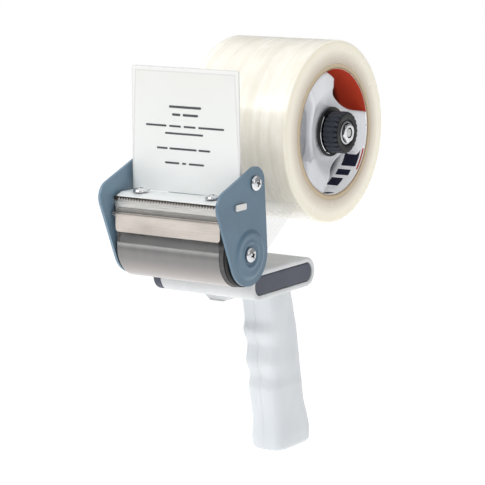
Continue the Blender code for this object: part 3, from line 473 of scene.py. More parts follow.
def linked(name, data):
    """A new object in the scene."""
    obj = bpy.data.objects.new(name, data)
    bpy.context.scene.collection.objects.link(obj)
    return obj


def weld(mesh, distance, flat=0.0):
    """Joins points that meet, drops faces thinner than flat and turns the faces outwards."""
    work = bmesh.new()
    work.from_mesh(mesh)
    bmesh.ops.remove_doubles(work, verts=work.verts, dist=distance)
    if flat:
        bmesh.ops.dissolve_degenerate(work, edges=work.edges, dist=flat)
    bmesh.ops.recalc_face_normals(work, faces=work.faces)
    work.to_mesh(mesh)
    work.free()


def new_object(name, verts, faces):
    """A welded mesh object from millimetre vertices."""
    mesh = bpy.data.meshes.new(name)
    mesh.from_pydata([tuple(c * MM for c in v) for v in verts], [], faces)
    weld(mesh, 2e-7, 1e-8)
    return linked(name, mesh)


def rings_mesh(name, rings, loop=False, caps=False):
    """Skin over rings of equal point counts; loop joins the last ring to the first."""
    count = len(rings[0])
    verts = [p for ring in rings for p in ring]
    faces = []
    for r in range(len(rings) if loop else len(rings) - 1):
        a, b = r * count, ((r + 1) % len(rings)) * count
        for i in range(count):
            j = (i + 1) % count
            faces.append((a + i, a + j, b + j, b + i))
    if caps:
        faces += [tuple(range(count)), tuple(range(len(verts) - count, len(verts)))]
    return new_object(name, verts, faces)


def lathe(name, profile, centre=HUB, steps=72, wobble=None):
    """Turns (radius, x) points about an axis along X through centre (y, z).

    A profile that doesn't start on the axis is closed. wobble(radius, x, angle) changes the radius.
    """
    rings = []
    for radius, x in profile:
        ring = []
        for i in range(steps):
            angle = 2 * math.pi * i / steps
            r = wobble(radius, x, angle) if wobble else radius
            ring.append((x, centre[0] + r * math.cos(angle), centre[1] + r * math.sin(angle)))
        rings.append(ring)
    return rings_mesh(name, rings, loop=profile[0][0] > 0)


def washer(inner, outer, high, low, edge):
    """Profile of a washer, tube or bar with chamfered outer edges."""
    return [(inner, high), (outer - edge, high), (outer, high - edge), (outer, low + edge),
            (outer - edge, low), (inner, low)]


AXES = {
    "X": Matrix(((0, 0, 1), (1, 0, 0), (0, 1, 0))).to_4x4(),
    "Y": Matrix(((-1, 0, 0), (0, 0, 1), (0, 1, 0))).to_4x4(),
    "Z": Matrix.Identity(4),
}


def final_mesh(obj):
    """A copy of the object's mesh with its modifiers applied."""
    return bpy.data.meshes.new_from_object(obj.evaluated_get(bpy.context.evaluated_depsgraph_get()))


def prism(name, loops, low, high, axis="X", bevel=0.0, segments=3):
    """A flat outline with holes, extruded along an axis, with rounded rims."""
    curve = bpy.data.curves.new(name, "CURVE")
    curve.dimensions = "2D"
    curve.fill_mode = "BOTH"
    curve.extrude = (high - low) / 2 * MM
    for loop in loops:
        spline = curve.splines.new("POLY")
        spline.points.add(len(loop) - 1)
        for point, (u, v) in zip(spline.points, loop):
            point.co = (u * MM, v * MM, 0, 1)
        spline.use_cyclic_u = True
    source = linked(name + "_outline", curve)
    mesh = final_mesh(source)
    bpy.data.objects.remove(source, do_unlink=True)
    mesh.transform(AXES[axis] @ Matrix.Translation((0, 0, (low + high) / 2 * MM)))
    weld(mesh, 1e-6)
    mesh.name = name
    obj = linked(name, mesh)
    if bevel:
        round_edges(obj, bevel, segments)
    return obj


def round_edges(obj, width, segments=3, angle=35):
    """Rounds every edge sharper than angle."""
    modifier = obj.modifiers.new("round", "BEVEL")
    modifier.width = width * MM
    modifier.segments = segments
    modifier.limit_method = "ANGLE"
    modifier.angle_limit = math.radians(angle)
    modifier.loop_slide = False
    modifier.harden_normals = True
    return obj


def boolean(obj, other, operation="DIFFERENCE"):
    """Applies a Boolean and removes the other object."""
    modifier = obj.modifiers.new("shape", "BOOLEAN")
    modifier.operation = operation
    modifier.solver = "EXACT"
    modifier.object = other
    bpy.context.view_layer.update()
    mesh = final_mesh(obj)
    obj.modifiers.clear()
    obj.data = mesh
    bpy.data.objects.remove(other, do_unlink=True)
    return obj


def keep_node(name, material, bevel=0.0):
    """A CAD node that stays, with a finished material and rounded edges."""
    obj = NODES[name]
    for slot in obj.material_slots:
        slot.material = material
    if bevel:
        round_edges(obj, bevel, 2)


def tube(name, points, radius, sides=10):
    """A round wire along millimetre points."""
    points = [Vector(p) for p in points]
    rings = []
    up = None
    for i, point in enumerate(points):
        along = (points[min(i + 1, len(points) - 1)] - points[max(i - 1, 0)]).normalized()
        if up is None:
            up = along.orthogonal().normalized()
        up = (up - along * up.dot(along)).normalized()
        side = along.cross(up)
        turns = [2 * math.pi * k / sides for k in range(sides)]
        rings.append([point + radius * (math.cos(a) * up + math.sin(a) * side) for a in turns])
    return rings_mesh(name, rings, caps=True)


def cross_recess(size, depth, top):
    """Tapered cross that cuts a screw's drive; the axis is along X."""
    slot, wider, narrower = 0.55, 1.08, 0.45
    arms = []
    for wide, thin in ((size, slot), (slot, size)):
        verts = []
        for x, shrink in ((top + 0.6, wider), (top - depth, narrower)):
            a, b = (wide * shrink, thin) if wide > thin else (wide, thin * shrink)
            verts += [(x, a, b), (x, -a, b), (x, -a, -b), (x, a, -b)]
        faces = [(0, 1, 2, 3), (7, 6, 5, 4)] + [(i, i + 4, (i + 1) % 4 + 4, (i + 1) % 4) for i in range(4)]
        arms.append(new_object("drive", verts, faces))
    return boolean(*arms, "UNION")


# Screws along +X: (radius, x) profile, sides, recess (size, depth, top), turn of the recess, edge.
PAN_HEAD = ([(0, 2.3), (1.2, 2.27), (2.3, 2.14), (3.2, 1.86), (3.9, 1.40), (4.35, 0.80), (4.5, 0.35),
             (4.46, 0.08), (4.3, 0.0), (2.2, 0.0), (2.2, -7.6), (1.9, -7.9), (0, -7.9)],
            64, (2.3, 1.7, 2.3), Matrix.Rotation(math.radians(20), 4, "X"), 0.12)
BUTTON_HEAD = ([(0, 2.4), (1.4, 2.36), (2.6, 2.1), (3.6, 1.6), (4.2, 0.9), (4.4, 0.2), (4.3, 0.0),
                (2.5, 0.0), (2.5, -7.4), (0, -7.4)], 56, (2.2, 1.5, 2.4), Matrix.Identity(4), 0.1)
SUNK_HEAD = ([(0, 5.0), (1.5, 5.0), (1.5, -8.8), (3.1, -8.8), (3.2, -9.0), (3.1, -9.9), (2.6, -10.4),
              (0, -10.6)], 40, (1.6, 1.2, 10.6), Matrix.Rotation(math.pi, 4, "Z"), 0.08)


def shift(x, y, z):
    return Matrix.Translation((x * MM, y * MM, z * MM))


def screw(name, node, look, kind, place):
    """One screw; place moves it from the origin, where it points along +X."""
    profile, sides, recess, turn, edge = kind
    obj = lathe(name, profile, (0, 0), sides)
    cross = cross_recess(*recess)
    cross.data.transform(turn)
    boolean(obj, cross)
    obj.data.transform(place)
    round_edges(obj, edge, 2, 40)
    finish(obj, look, "frame", node, angle=30)


UPWARDS = Matrix.Rotation(-math.pi / 2, 4, "Y")


def box_loop(low_u, high_u, low_v, high_v):
    return [(low_u, low_v), (high_u, low_v), (high_u, high_v), (low_u, high_v)]


def hole(centre, radius):
    """Outline of a round hole."""
    return arc(centre, radius, 0, 345, 23)


# ---- side plates

def pressed_ring(name, side):
    """The round boss pressed into a plate round the roller's screw."""
    profile = [(15.4, -0.05), (14.6, 0.02), (14.0, 0.16), (13.4, 0.46), (12.8, 0.70), (12.1, 0.80),
               (11.2, 0.78), (10.0, 0.66), (9.0, 0.62), (8.3, 0.70), (7.7, 0.84), (7.2, 0.86),
               (6.7, 0.72), (6.3, 0.42), (5.9, 0.12), (5.5, 0.04), (4.8, 0.02), (4.8, -0.3), (15.4, -0.3)]
    height = 1.35
    obj = lathe(name, [(r, side * (PLATE_OUT + x * height)) for r, x in profile], ROLLER, 120)
    finish(obj, PAINT, "frame", angle=50)


def make_plates():
    """Near plate, and the far plate with its arm to the hub and its flange on the handle."""
    thick = PLATE_OUT - PLATE_IN
    outline = hull([(*ROLLER, 18.0), (-106.9, 111.6, 9.5), (*TIE, 9.5)])
    slot = fillet(box_loop(-99.6, -89.8, 109.0, 111.6), 0.4, True, 3)
    holes = [hole(ROLLER, 2.6), hole(TIE, 2.6), slot]
    near = prism("near_plate", [outline] + holes, PLATE_IN, PLATE_OUT, "X", 0.35)
    finish(near, PAINT, "frame", "near_side_plate")
    pressed_ring("near_pressed_ring", 1)
    far = prism("far_plate", [outline], -PLATE_OUT, -PLATE_IN)
    arm = hull([(*HUB, 17.0), (-12.0, BASE_TOP + 5, 6.0), (-66.0, BASE_TOP + 9, 9.0)])
    boolean(far, prism("far_arm", [arm], -PLATE_OUT, -PLATE_IN), "UNION")
    outer_bend, flange_end = 3.0, -2.0
    bend = (outer_bend - PLATE_OUT, BASE_TOP - thick + outer_bend)
    base = [(PLATE_OUT, BASE_TOP + 4.0)] + [(-u, v) for u, v in arc(bend, outer_bend, 180, 270, 10)]
    base += [(flange_end, BASE_TOP - thick), (flange_end, BASE_TOP)]
    base += [(-u, v) for u, v in arc(bend, outer_bend - thick, 270, 180, 10)] + [(PLATE_IN, BASE_TOP + 4.0)]
    boolean(far, prism("far_base", [base], -62.0, -14.0, "Y"), "UNION")
    for loop in holes + [hole(HUB, 4.3)]:
        boolean(far, prism("far_hole", [loop], -PLATE_OUT - 1, -PLATE_IN + 1))
    for x in (FAR_BOLT_X, NEAR_BOLT_X):
        boolean(far, prism("bolt_hole", [hole((x, BOLT_Y), 2.8)], BASE_TOP - 3, BASE_TOP + 1, "Z"))
    round_edges(far, 0.3, 2)
    finish(far, PAINT, "frame", "main_frame")
    pressed_ring("far_pressed_ring", -1)


def make_plate_screws():
    """The four screws that hold the plates to the tie rod and the axle."""
    seat = 42.3
    for side, sign, turn in (("near", 1, 0.0), ("far", -1, math.pi)):
        for place, centre, spin in (("tie", TIE, 50), ("axle", ROLLER, 0)):
            turned = Matrix.Rotation(turn, 4, "Z") @ Matrix.Rotation(math.radians(spin), 4, "X")
            screw(f"{side}_{place}_pan_screw", f"{side}_{place}_screw", CHROME, PAN_HEAD,
                  shift(sign * seat, *centre) @ turned)


def make_bars():
    """Tie rod, roller axle and guard pin."""
    end = 40.1
    for name, node, radius, centre in (
            ("tie_bar", "tie_rod", 4.0, TIE), ("axle_bar", "roller_axle", 4.0, ROLLER),
            ("hinge_pin", "guard_pin", 1.5, PIN)):
        finish(lathe(name, washer(0, radius, end, -end, 0.4), centre, 48), ZINC, "frame", node)
    keep_node("guard_spring", ZINC[0])


# ---- bracket, blade, flap, guard

def make_bracket_and_blade():
    """The kept bracket, and the blade with its teeth and the groove across its front."""
    keep_node("cross_bracket", bracket_steel(), 0.3)
    teeth, pitch, height = 37, 2.0, 1.5
    top, foot, front, back, groove = 111.1, 105.6, -105.2, -104.4, 107.0
    points = []
    for tooth in range(teeth):
        left = (tooth - teeth / 2) * pitch
        points += [(left, top - height), (left + pitch / 2, top)]
    points += [(teeth / 2 * pitch, top - height)]
    side = [(front + 0.15, foot), (front, foot + 0.2), (front, groove), (front + 0.28, groove + 0.25),
            (front + 0.28, groove + 0.5), (front, groove + 0.75)]
    rings = [[(x, y, z) for y, z in side + [(front, tip - 0.55), (back, tip), (back, foot)]]
             for x, tip in points]
    finish(rings_mesh("toothed_blade", rings, caps=True), BLADE, "frame", "cutting_blade", angle=12)


def make_flap():
    """Foot with rounded edges, its screws, and the upright sheet."""
    low, front, back = 111.6, -104.5, -88.2
    outline = [(back, low), (back, 113.7), (-100.4, 113.75), (front, 112.2), (front, low)]
    outline = fillet(outline, [0.1, 0.5, 3.0, 0.25, 0.1], True, 6)
    foot = prism("flap_base", [outline], -37.6, 37.6, "X", 0.3, 2)
    finish(foot, FLAP, "frame", "flap_foot")
    for side, x in (("far", -25.5), ("near", 25.5)):
        screw(side + "_foot_screw", side + "_flap_screw", CHROME, PAN_HEAD,
              shift(x, -97.8, 114.25) @ UPWARDS @ Matrix.Rotation(0.6, 4, "X"))
    half = [(FLAP_HALF, 113.95), (FLAP_HALF, 128.3), (FLAP_TOP_HALF, FLAP_TOP)]
    corners = half + [(-x, z) for x, z in reversed(half)]
    sheet = fillet(corners, [0.6, 0, 1.8, 1.8, 0, 0.6], True, 8)
    finish(prism("flap_sheet", [sheet], FLAP_FRONT, FLAP_BACK, "Y", 0.25), FLAP, "flap", "wiper_flap")


def make_flap_print():
    """Plain grey bars where the flap carries print: height of the row, of its bars, and their ends."""
    rows = [(163.5, 1.4, (-11.1, 11.4)), (159.0, 1.4, (-9.0, -3.2), (-1.4, 9.2)),
            (152.3, 1.15, (-27.8, -13.2), (-11.2, -2.9), (-0.9, 7.4), (9.4, 27.2)),
            (148.1, 1.15, (-14.2, 12.6)), (139.3, 1.15, (-20.2, -12.6), (-11.2, 7.9), (9.3, 17.4)),
            (131.0, 1.15, (-14.6, -4.4), (-2.4, 0.4), (2.4, 13.0))]
    bars = [fillet(box_loop(-end, -start, z - height / 2, z + height / 2), 0.45, True, 4)
            for z, height, *spans in rows for start, end in spans]
    finish(prism("flap_print", bars, FLAP_FRONT - 0.04, FLAP_FRONT + 0.01, "Y"), INK, "flap")


def make_guard():
    """Bowed guard plate with round lower corners, whose upper edge leans back, on two ears."""
    half, ear_half, low, corner = 36.8, 39.6, 91.4, 2.0
    inner, outer, bow = -106.3, -107.3, 0.12
    columns = np.concatenate([np.linspace(-1, -0.93, 8), np.linspace(-0.9, 0.9, 19), np.linspace(0.93, 1, 8)])
    heights = np.concatenate([low + corner * (1 - np.cos(np.linspace(0, math.pi / 2, 9))),
                              np.linspace(94.0, 98.4, 6),
                              [99.0, 99.6, 100.2, 100.6, 101.0, 101.6, 102.2, 102.8]])
    leans = np.interp(heights, (101.0, 101.6, 102.2, 102.8), (0.0, 0.02, 0.08, 0.3))
    drops = np.clip(low + corner - heights, 0, corner)
    widths = np.interp(heights, (100.2, 101.0), (half, ear_half)) - corner + np.sqrt(corner ** 2 - drops ** 2)
    rings = []
    for z, wide, lean in zip(heights, widths, leans):
        front = [(u * wide, outer + lean - bow * (1 - u * u), z) for u in columns]
        rings.append(front + [(u * wide, inner, z) for u in reversed(columns)])
    plate = rings_mesh("guard_plate", rings, caps=True)
    for low_x, high_x in ((38.6, 39.4), (-39.4, -38.6)):
        ear = [hull([(*PIN, 3.1), (inner - 0.1, 101.6, 0.8)], 60), hole(PIN, 1.65)]
        boolean(plate, prism("guard_ear", ear, low_x, high_x), "UNION")
    round_edges(plate, 0.2, 2, 40)
    finish(plate, GUARD, "guard", "tape_guard", angle=30)


# ---- roller

def make_roller():
    """Rubber sleeve with a groove near each end, on a core with two bushes."""
    outer, half = 18.8, 39.2
    side = [(14.1, half), (outer - 1.1, half), (outer - 0.5, half - 0.15), (outer - 0.12, half - 0.5),
            (outer, half - 1.1), (outer, 37.7), (outer - 0.12, 37.5), (outer - 0.5, 37.4),
            (outer - 0.55, 37.1), (outer - 0.12, 37.0), (outer, 36.8)]
    profile = side + [(r, -x) for r, x in reversed(side)]
    finish(lathe("rubber_sleeve", profile, ROLLER, 128), RUBBER, "roller", "roller_sleeve")
    core = washer(8.6, 13.9, 38.6, -38.6, 0.4)
    finish(lathe("roller_tube", core, ROLLER, 96), CAP, "roller", "roller_core")
    bush = [(4.1, 39.7), (4.5, 39.7), (10.6, 39.7), (11.0, 39.4), (11.0, 39.0), (10.8, 38.9),
            (8.4, 38.9), (8.4, 28.8), (8.2, 28.6), (4.1, 28.6)]
    for label, sign in (("near", 1), ("far", -1)):
        obj = lathe(label + "_bush", [(r, sign * x) for r, x in bush], ROLLER)
        finish(obj, NYLON, "roller", label + "_roller_bush")


# ---- tape

def tangent_point(start, centre, radius, side):
    """Where a line from start touches a circle."""
    offset = (centre[0] - start[0], centre[1] - start[1])
    reach = math.hypot(*offset)
    angle = math.atan2(offset[1], offset[0]) + side * math.asin(radius / reach)
    length = math.sqrt(reach ** 2 - radius ** 2)
    return (start[0] + length * math.cos(angle), start[1] + length * math.sin(angle))


def straight(start, end, steps):
    """Points from start to end, both included."""
    return [(start[0] + (end[0] - start[0]) * t, start[1] + (end[1] - start[1]) * t)
            for t in np.linspace(0, 1, steps)]


def web_line(offset):
    """Side view of the threaded tape: off the roll, round the roller and up behind the blade."""
    radius = 18.95 + offset
    leave = math.radians(223.0)
    along = (math.cos(leave), math.sin(leave))
    peel = (HUB[0] + along[0] * (ROLL_R + 0.3) - along[1] * offset,
            HUB[1] + along[1] * (ROLL_R + 0.3) + along[0] * offset)
    end = (-105.5 - offset, 108.6)
    first, last = tangent_point(peel, ROLLER, radius, 1), tangent_point(end, ROLLER, radius, -1)
    a, b = (math.degrees(math.atan2(p[1] - ROLLER[1], p[0] - ROLLER[0])) % 360 for p in (first, last))
    return straight(peel, first, 24)[:-1] + arc(ROLLER, radius, a, b, 90) + straight(last, end, 16)[1:]


def make_web():
    """The threaded tape as a thin film with slightly uneven edges."""
    wave = 0.05
    rings = []
    for i, (p, q) in enumerate(zip(web_line(0.12), web_line(0.22))):
        near = NEAR_X - wave * (1 + math.sin(i * 0.21))
        far = FAR_X + wave * (1 + math.sin(i * 0.17))
        xs = np.linspace(far, near, 25)
        rings.append([(x, *q) for x in xs] + [(x, *p) for x in reversed(xs)])
    finish(rings_mesh("threaded_film", rings, caps=True), FILM, "frame", "tape_web")


def make_roll():
    """Wound film with soft edges and a slightly uneven surface, on its card core."""
    out, near, far = ROLL_R, NEAR_X, FAR_X
    side = [(CORE_R + 0.02, 0.1), (CORE_R + 0.3, 0.02)] + [(CORE_R + 1 + k * 1.18, 0.0) for k in range(10)]
    side += [(out - 1.3, 0.0), (out - 0.75, 0.12), (out - 0.3, 0.38), (out - 0.08, 0.75), (out, 1.2)]
    profile = [(r, near - depth) for r, depth in side]
    profile += [(out, x) for x in np.linspace(near - 2, far + 2, 36)]
    profile += [(r, far + depth) for r, depth in reversed(side)]

    def wobble(radius, x, angle):
        if radius < out - 0.2:
            return radius
        wave = math.sin(0.35 * x + 2 * math.sin(angle)) * math.cos(0.13 * x + 3 * angle)
        return radius - 0.05 * (1 - wave)

    finish(lathe("film_roll", profile, HUB, 220, wobble), FILM_ROLL, "reel", "tape_roll", angle=60)
    edge, outer, inner = 0.15, CORE_R - 0.02, BORE_R
    core = [(inner + edge, near), (outer - edge, near), (outer, near - edge), (outer, far + edge),
            (outer - edge, far), (inner + edge, far), (inner, far + edge), (inner, near - edge)]
    finish(lathe("card_core", core, HUB, 160), CARD, "reel", "tape_core")


def bore_patch(name, look, start, end, x_low, x_high, radius=37.98, skew=0.0):
    """A printed patch on the inside of the core, from start to end degrees."""
    steps = max(4, int(abs(end - start) / 2.5))
    thick = 0.06
    rings = []
    for k in range(steps + 1):
        t = k / steps
        angle = math.radians(start + (end - start) * t)
        low, high = x_low + skew * t, x_high + skew * t
        ring = []
        for r, xs in ((radius, np.linspace(low, high, 7)), (radius - thick, np.linspace(high, low, 7))):
            ring += [(x, HUB[0] + r * math.cos(angle), HUB[1] + r * math.sin(angle)) for x in xs]
        rings.append(ring)
    finish(rings_mesh(name, rings, caps=True), look, "reel", angle=40)


def make_core_print():
    """White paper lining with a plain orange panel and plain dark blocks."""
    bore_patch("core_lining", LINER, 0, 360, FAR_X + 0.4, NEAR_X - 0.5, 38.05)
    bore_patch("core_orange_panel", ORANGE, 12.6, 106, -10.0, NEAR_X - 0.6)
    for k, (start, end) in enumerate(((-24, -41), (-45, -52), (-56, -68))):
        bore_patch(f"core_dark_block_{k}", NAVY, start, end, 20.5 - k, 30.8 - 2 * k)
    bore_patch("core_orange_line", ORANGE, -22, -44, 32.0, 33.0)
    bore_patch("core_dark_corner", NAVY, -84, -92, 26.0, 31.5, skew=-2.0)


# ---- hub

# One scooped side between two lobes as (radius, degrees), for the face plate and for the walls
# set back under it.
FACE_SIDE = [(26.3, 23.9), (22.5, 34.1), (20.4, 54.8), (23.3, 82.2), (28.3, 89.7), (32.4, 87.8)]
WALL_SIDE = [(25.4, 19.1), (20.5, 30.8), (17.9, 55.0), (22.0, 87.4), (28.3, 94.7), (33.1, 95.5)]
LOBE_START, LOBE_END, LOBE_R = -19.1, 13.5, 37.8


def curve_through(points, parts):
    """Catmull-Rom curve through points."""
    p = np.array([points[0]] + points + [points[-1]], float)
    curve = []
    for a, b, c, d in zip(p, p[1:], p[2:], p[3:]):
        for t in np.linspace(0, 1, parts, endpoint=False):
            bend = t * (2 * a - 5 * b + 4 * c - d + t * (3 * (b - c) + d - a))
            curve.append(tuple(b + 0.5 * t * (c - a + bend)))
    return curve + [points[-1]]


def hub_points(side, trim):
    """Outline round the origin: three lobes, narrower by trim at each corner, and scooped sides."""
    points = []
    for turn in (0, 120, 240):
        start, end = LOBE_START + turn + trim, LOBE_END + turn - trim
        points += arc((0, 0), LOBE_R, start, end, 14)
        polar = [(LOBE_R, end)] + [(r, a + turn) for r, a in side] + [(LOBE_R, start + 120)]
        corners = [(r * math.cos(math.radians(a)), r * math.sin(math.radians(a))) for r, a in polar]
        points += curve_through(corners, 8)[1:-1]
    return points


def resample(points, count):
    """Evenly spaced points along a closed outline."""
    p = np.array(points + [points[0]])
    lengths = np.concatenate([[0], np.cumsum(np.linalg.norm(np.diff(p, axis=0), axis=1))])
    at = np.linspace(0, lengths[-1], count, endpoint=False)
    return np.stack([np.interp(at, lengths, p[:, 0]), np.interp(at, lengths, p[:, 1])], axis=1)


def round_corners(points, window):
    """Smooths a closed outline over a window of its 720 points."""
    dense = resample(points, 720)
    weights = np.hanning(window) / np.hanning(window).sum()
    half = window // 2
    ring = np.concatenate([dense[-half:], dense, dense[:half]])
    smooth = np.stack([np.convolve(ring[:, k], weights, "valid") for k in (0, 1)], axis=1)[:720]
    return resample([tuple(p) for p in smooth], 360)


def offset_outline(points, distance):
    """Moves a closed outline inwards by distance."""
    before, after = np.roll(points, 1, axis=0), np.roll(points, -1, axis=0)
    along = after - before
    along /= np.linalg.norm(along, axis=1)[:, None]
    inward = np.stack([-along[:, 1], along[:, 0]], axis=1)
    return points + inward * distance


def make_hub():
    """Dished face on three lobes, with hollow walls set back under it."""
    outer_line = round_corners(hub_points(FACE_SIDE, 0.0), 7)
    wall_line = round_corners(hub_points(WALL_SIDE, 3.0), 15)
    inner_line = offset_outline(wall_line, 2.2)
    back, web_back, edge = HUB_BACK, DISH_FLOOR - 3.0, 1.7
    dish_start, dish_end = 16.5, 28.5
    angles = np.arctan2(outer_line[:, 1], outer_line[:, 0])
    unit = np.stack([np.cos(angles), np.sin(angles)], axis=1)

    def ring(line, x):
        return [(h, HUB[0] + u, HUB[1] + v) for h, (u, v) in zip(np.broadcast_to(x, len(line)), line)]

    def face_height(line):
        t = np.clip((np.linalg.norm(line, axis=1) - dish_start) / (dish_end - dish_start), 0, 1)
        return DISH_FLOOR + (HUB_FACE - DISH_FLOOR) * t * t * (3 - 2 * t)

    bore, collar, sleeve_room = unit * 7.1, unit * 10.0, unit * 8.0
    rim, chamfer = offset_outline(outer_line, edge), 0.3
    sections = [(bore, back), (bore, DISH_FLOOR)]
    for f in (0.0, 0.08, 0.2, 0.32, 0.44, 0.56, 0.68, 0.8, 0.9, 0.96, 1.0):
        line = sleeve_room + (rim - sleeve_room) * f
        sections.append((line, face_height(line)))
    for a in np.linspace(0, math.pi / 2, 7)[5::-1]:
        line = offset_outline(outer_line, edge * (1 - math.cos(a)))
        sections.append((line, face_height(rim) - edge * (1 - math.sin(a))))
    sections += [(outer_line, web_back + chamfer), (offset_outline(outer_line, chamfer), web_back)]
    sections += [(wall_line, x) for x in (web_back - 0.05, 20.0, 5.0, -10.0, -25.0, back + chamfer)]
    sections += [(offset_outline(wall_line, chamfer), back), (inner_line, back)]
    sections += [(inner_line, x) for x in (-20.0, 0.0, web_back)] + [(collar, web_back), (collar, back)]
    hub = rings_mesh("lobed_hub", [ring(*section) for section in sections], loop=True)
    finish(hub, HUB_WHITE, "reel", "reel_hub", angle=40)
    sleeve = [(5.1, DISH_FLOOR), (7.0, DISH_FLOOR), (7.0, back), (5.1, back)]
    finish(lathe("hub_sleeve", sleeve, HUB, 64), NYLON, "reel", "hub_bushing")


def thread(high, low, crest, root):
    """Thread profile from high down to low."""
    return [(crest if k % 4 < 2 else root, float(x)) for k, x in enumerate(np.arange(high, low, -0.25))]


def hexagon_nut(name, radius, start, bore, low, high, dome, sides):
    """A nut on the hub's axis, turned by start degrees and chamfered to the dome profile."""
    obj = prism(name, [arc(HUB, radius, start, start + 300, 5), arc(HUB, bore, 0, 352, 44)], low, high)
    boolean(obj, lathe("nut_chamfer", dome, HUB, sides), "INTERSECT")
    return round_edges(obj, 0.15, 2)


def make_spindle():
    profile = [(0, 44.1), (2.4, 44.1), (2.95, 43.6)] + thread(43.2, 39.0, 3.0, 2.65)
    profile += [(3.0, 38.5), (3.0, 29.5), (4.7, 29.5), (5.0, 29.2), (5.0, -39.9), (8.5, -39.9),
                (8.5, -40.1), (4.0, -40.1), (4.0, -48.5)] + thread(-48.6, -49.6, 4.0, 3.6)
    profile += [(3.4, -50.0), (0, -50.0)]
    finish(lathe("hub_axle", profile, HUB, 64), ZINC, "frame", "hub_spindle")
    dome = [(0, -43.6), (7.6, -43.6), (7.6, -48.2), (6.6, -48.9), (0, -48.9)]
    finish(hexagon_nut("axle_nut", 7.5, 0, 4.2, -48.9, -43.6, dome, 64), ZINC, "frame", "spindle_nut")
    finish(lathe("axle_washer", washer(4.3, 9.0, -42.4, -43.3, 0.2)), ZINC, "frame", "spindle_washer")


def make_brake():
    """Friction disc, cup with a bright wire end on it, washer, and the spring between them."""
    finish(lathe("brake_disc", washer(3.4, 12.5, 30.5, 29.7, 0.2)), FIBRE, "frame", "brake_washer")
    cup = [(9.2, 34.0), (9.2, 32.0), (13.9, 32.0), (14.1, 32.12), (14.7, 32.12), (15.0, 31.85), (15.0, 31.0),
           (14.8, 30.8), (3.3, 30.8), (3.3, 32.0), (8.2, 32.0), (8.2, 34.0)]
    finish(lathe("spring_seat", cup, HUB, 120), KNOB, "frame", "spring_cup")
    first, last, join, radius = 128, 262, 240, 13.3
    wire = []
    for angle in range(first, last + 1, 3):
        dips = (abs(angle - join) / 7, (angle - first) / 9, (last - angle) / 9)
        dip = sum(max(0.0, 1 - d) for d in dips)
        turn = math.radians(angle)
        y, z = HUB[0] + radius * math.cos(turn), HUB[1] + radius * math.sin(turn)
        wire.append((32.35 - min(dip, 1.0), y, z))
    finish(tube("spring_end", wire, 0.38), CHROME, "frame")
    finish(lathe("spring_washer", washer(3.3, 8.6, 39.4, 38.4, 0.1)), ZINC, "tension_slide", "thrust_washer")
    low, high, turns, radius, per_turn = 32.6, 37.8, 3, 6.2, 36
    coil = []
    for i in range(turns * per_turn + 1):
        angle = 2 * math.pi * i / per_turn
        coil.append((low + (high - low) * i / (turns * per_turn),
                     HUB[0] + radius * math.cos(angle), HUB[1] + radius * math.sin(angle)))
    ends = [(x * MM, HUB[0] * MM, HUB[1] * MM) for x in (low, high)]
    finish(tube("brake_spring", coil, 0.5), ZINC, "frame", "tension_spring", onto=("tension_slide", *ends))


def make_knob():
    """Fluted knob with deeper teeth at its front, and its nut with a skirt."""
    flutes = 24
    front, back, radius = KNOB_FRONT, KNOB_BACK, KNOB_R
    cavity, cavity_end, recess_r, recess = 9.8, 39.7, 7.9, 41.4

    def wobble(r, x, angle):
        if r < radius - 1.3:
            return r
        depth = 0.6 if x < front - 2.2 else 1.45
        return r - depth * max(0.0, -math.cos(flutes * angle)) ** 1.4

    profile = [(cavity, back), (radius - 0.5, back), (radius, back + 0.4)]
    profile += [(radius - 0.02 * k, back + 0.4 + k) for k in range(1, 7)]
    profile += [(radius - 0.12, front - 2.3), (radius, front - 1.9), (radius, front - 1.4),
                (radius - 0.18, front - 0.8), (radius - 0.6, front - 0.28), (radius - 1.1, front - 0.05),
                (radius - 1.5, front), (recess_r + 0.35, front), (recess_r + 0.1, front - 0.12),
                (recess_r, front - 0.4), (recess_r - 0.05, recess + 0.3), (recess_r - 0.35, recess),
                (6.6, recess), (6.6, cavity_end), (cavity, cavity_end)]
    finish(lathe("fluted_knob", profile, HUB, flutes * 14, wobble), KNOB, "knob", "tension_knob", angle=35)
    dome = [(0, 44.4), (4.6, 44.4), (5.6, 44.15), (6.3, 43.7), (6.3, 39.9), (0, 39.9)]
    nut = hexagon_nut("hex_nut", 6.2, 10, 3.2, 39.9, 44.4, dome, 72)
    skirt = [(6.0, 42.75), (6.7, 42.7), (7.0, 42.5), (7.1, 42.2), (7.0, 41.75), (5.6, 41.7)]
    finish(lathe("nut_skirt", skirt, HUB, 96), ZINC, "knob")
    finish(nut, CHROME, "knob", "knob_nut", angle=30)


# ---- handle

def block_ring(inset, x):
    """Section of the crossbar at x, drawn in by inset; always the same point count."""
    radius = max(BLOCK_HALF_Z - 0.3 - inset, 0.5)
    u, v = BLOCK_HALF_Y - inset - radius, BLOCK_HALF_Z - inset - radius
    points = []
    for corner, (su, sv) in enumerate(((1, 1), (-1, 1), (-1, -1), (1, -1))):
        centre = (BLOCK[0] + su * u, BLOCK[1] + sv * v)
        if corner in (1, 3):
            points += [(BLOCK[0] - su * u * (1 - 2 * t), centre[1] + sv * radius)
                       for t in np.linspace(0.1, 0.9, 9)]
        points += arc(centre, radius, 90 * corner, 90 * corner + 90, 14)
    return [(x, *p) for p in points]


def block_piece(name, look, node, sections, loop=False):
    """A piece of the crossbar's outline through (inset, x) sections."""
    rings = [block_ring(inset, x) for inset, x in sections]
    finish(rings_mesh(name, rings, loop, not loop), look, "frame", node, angle=40)


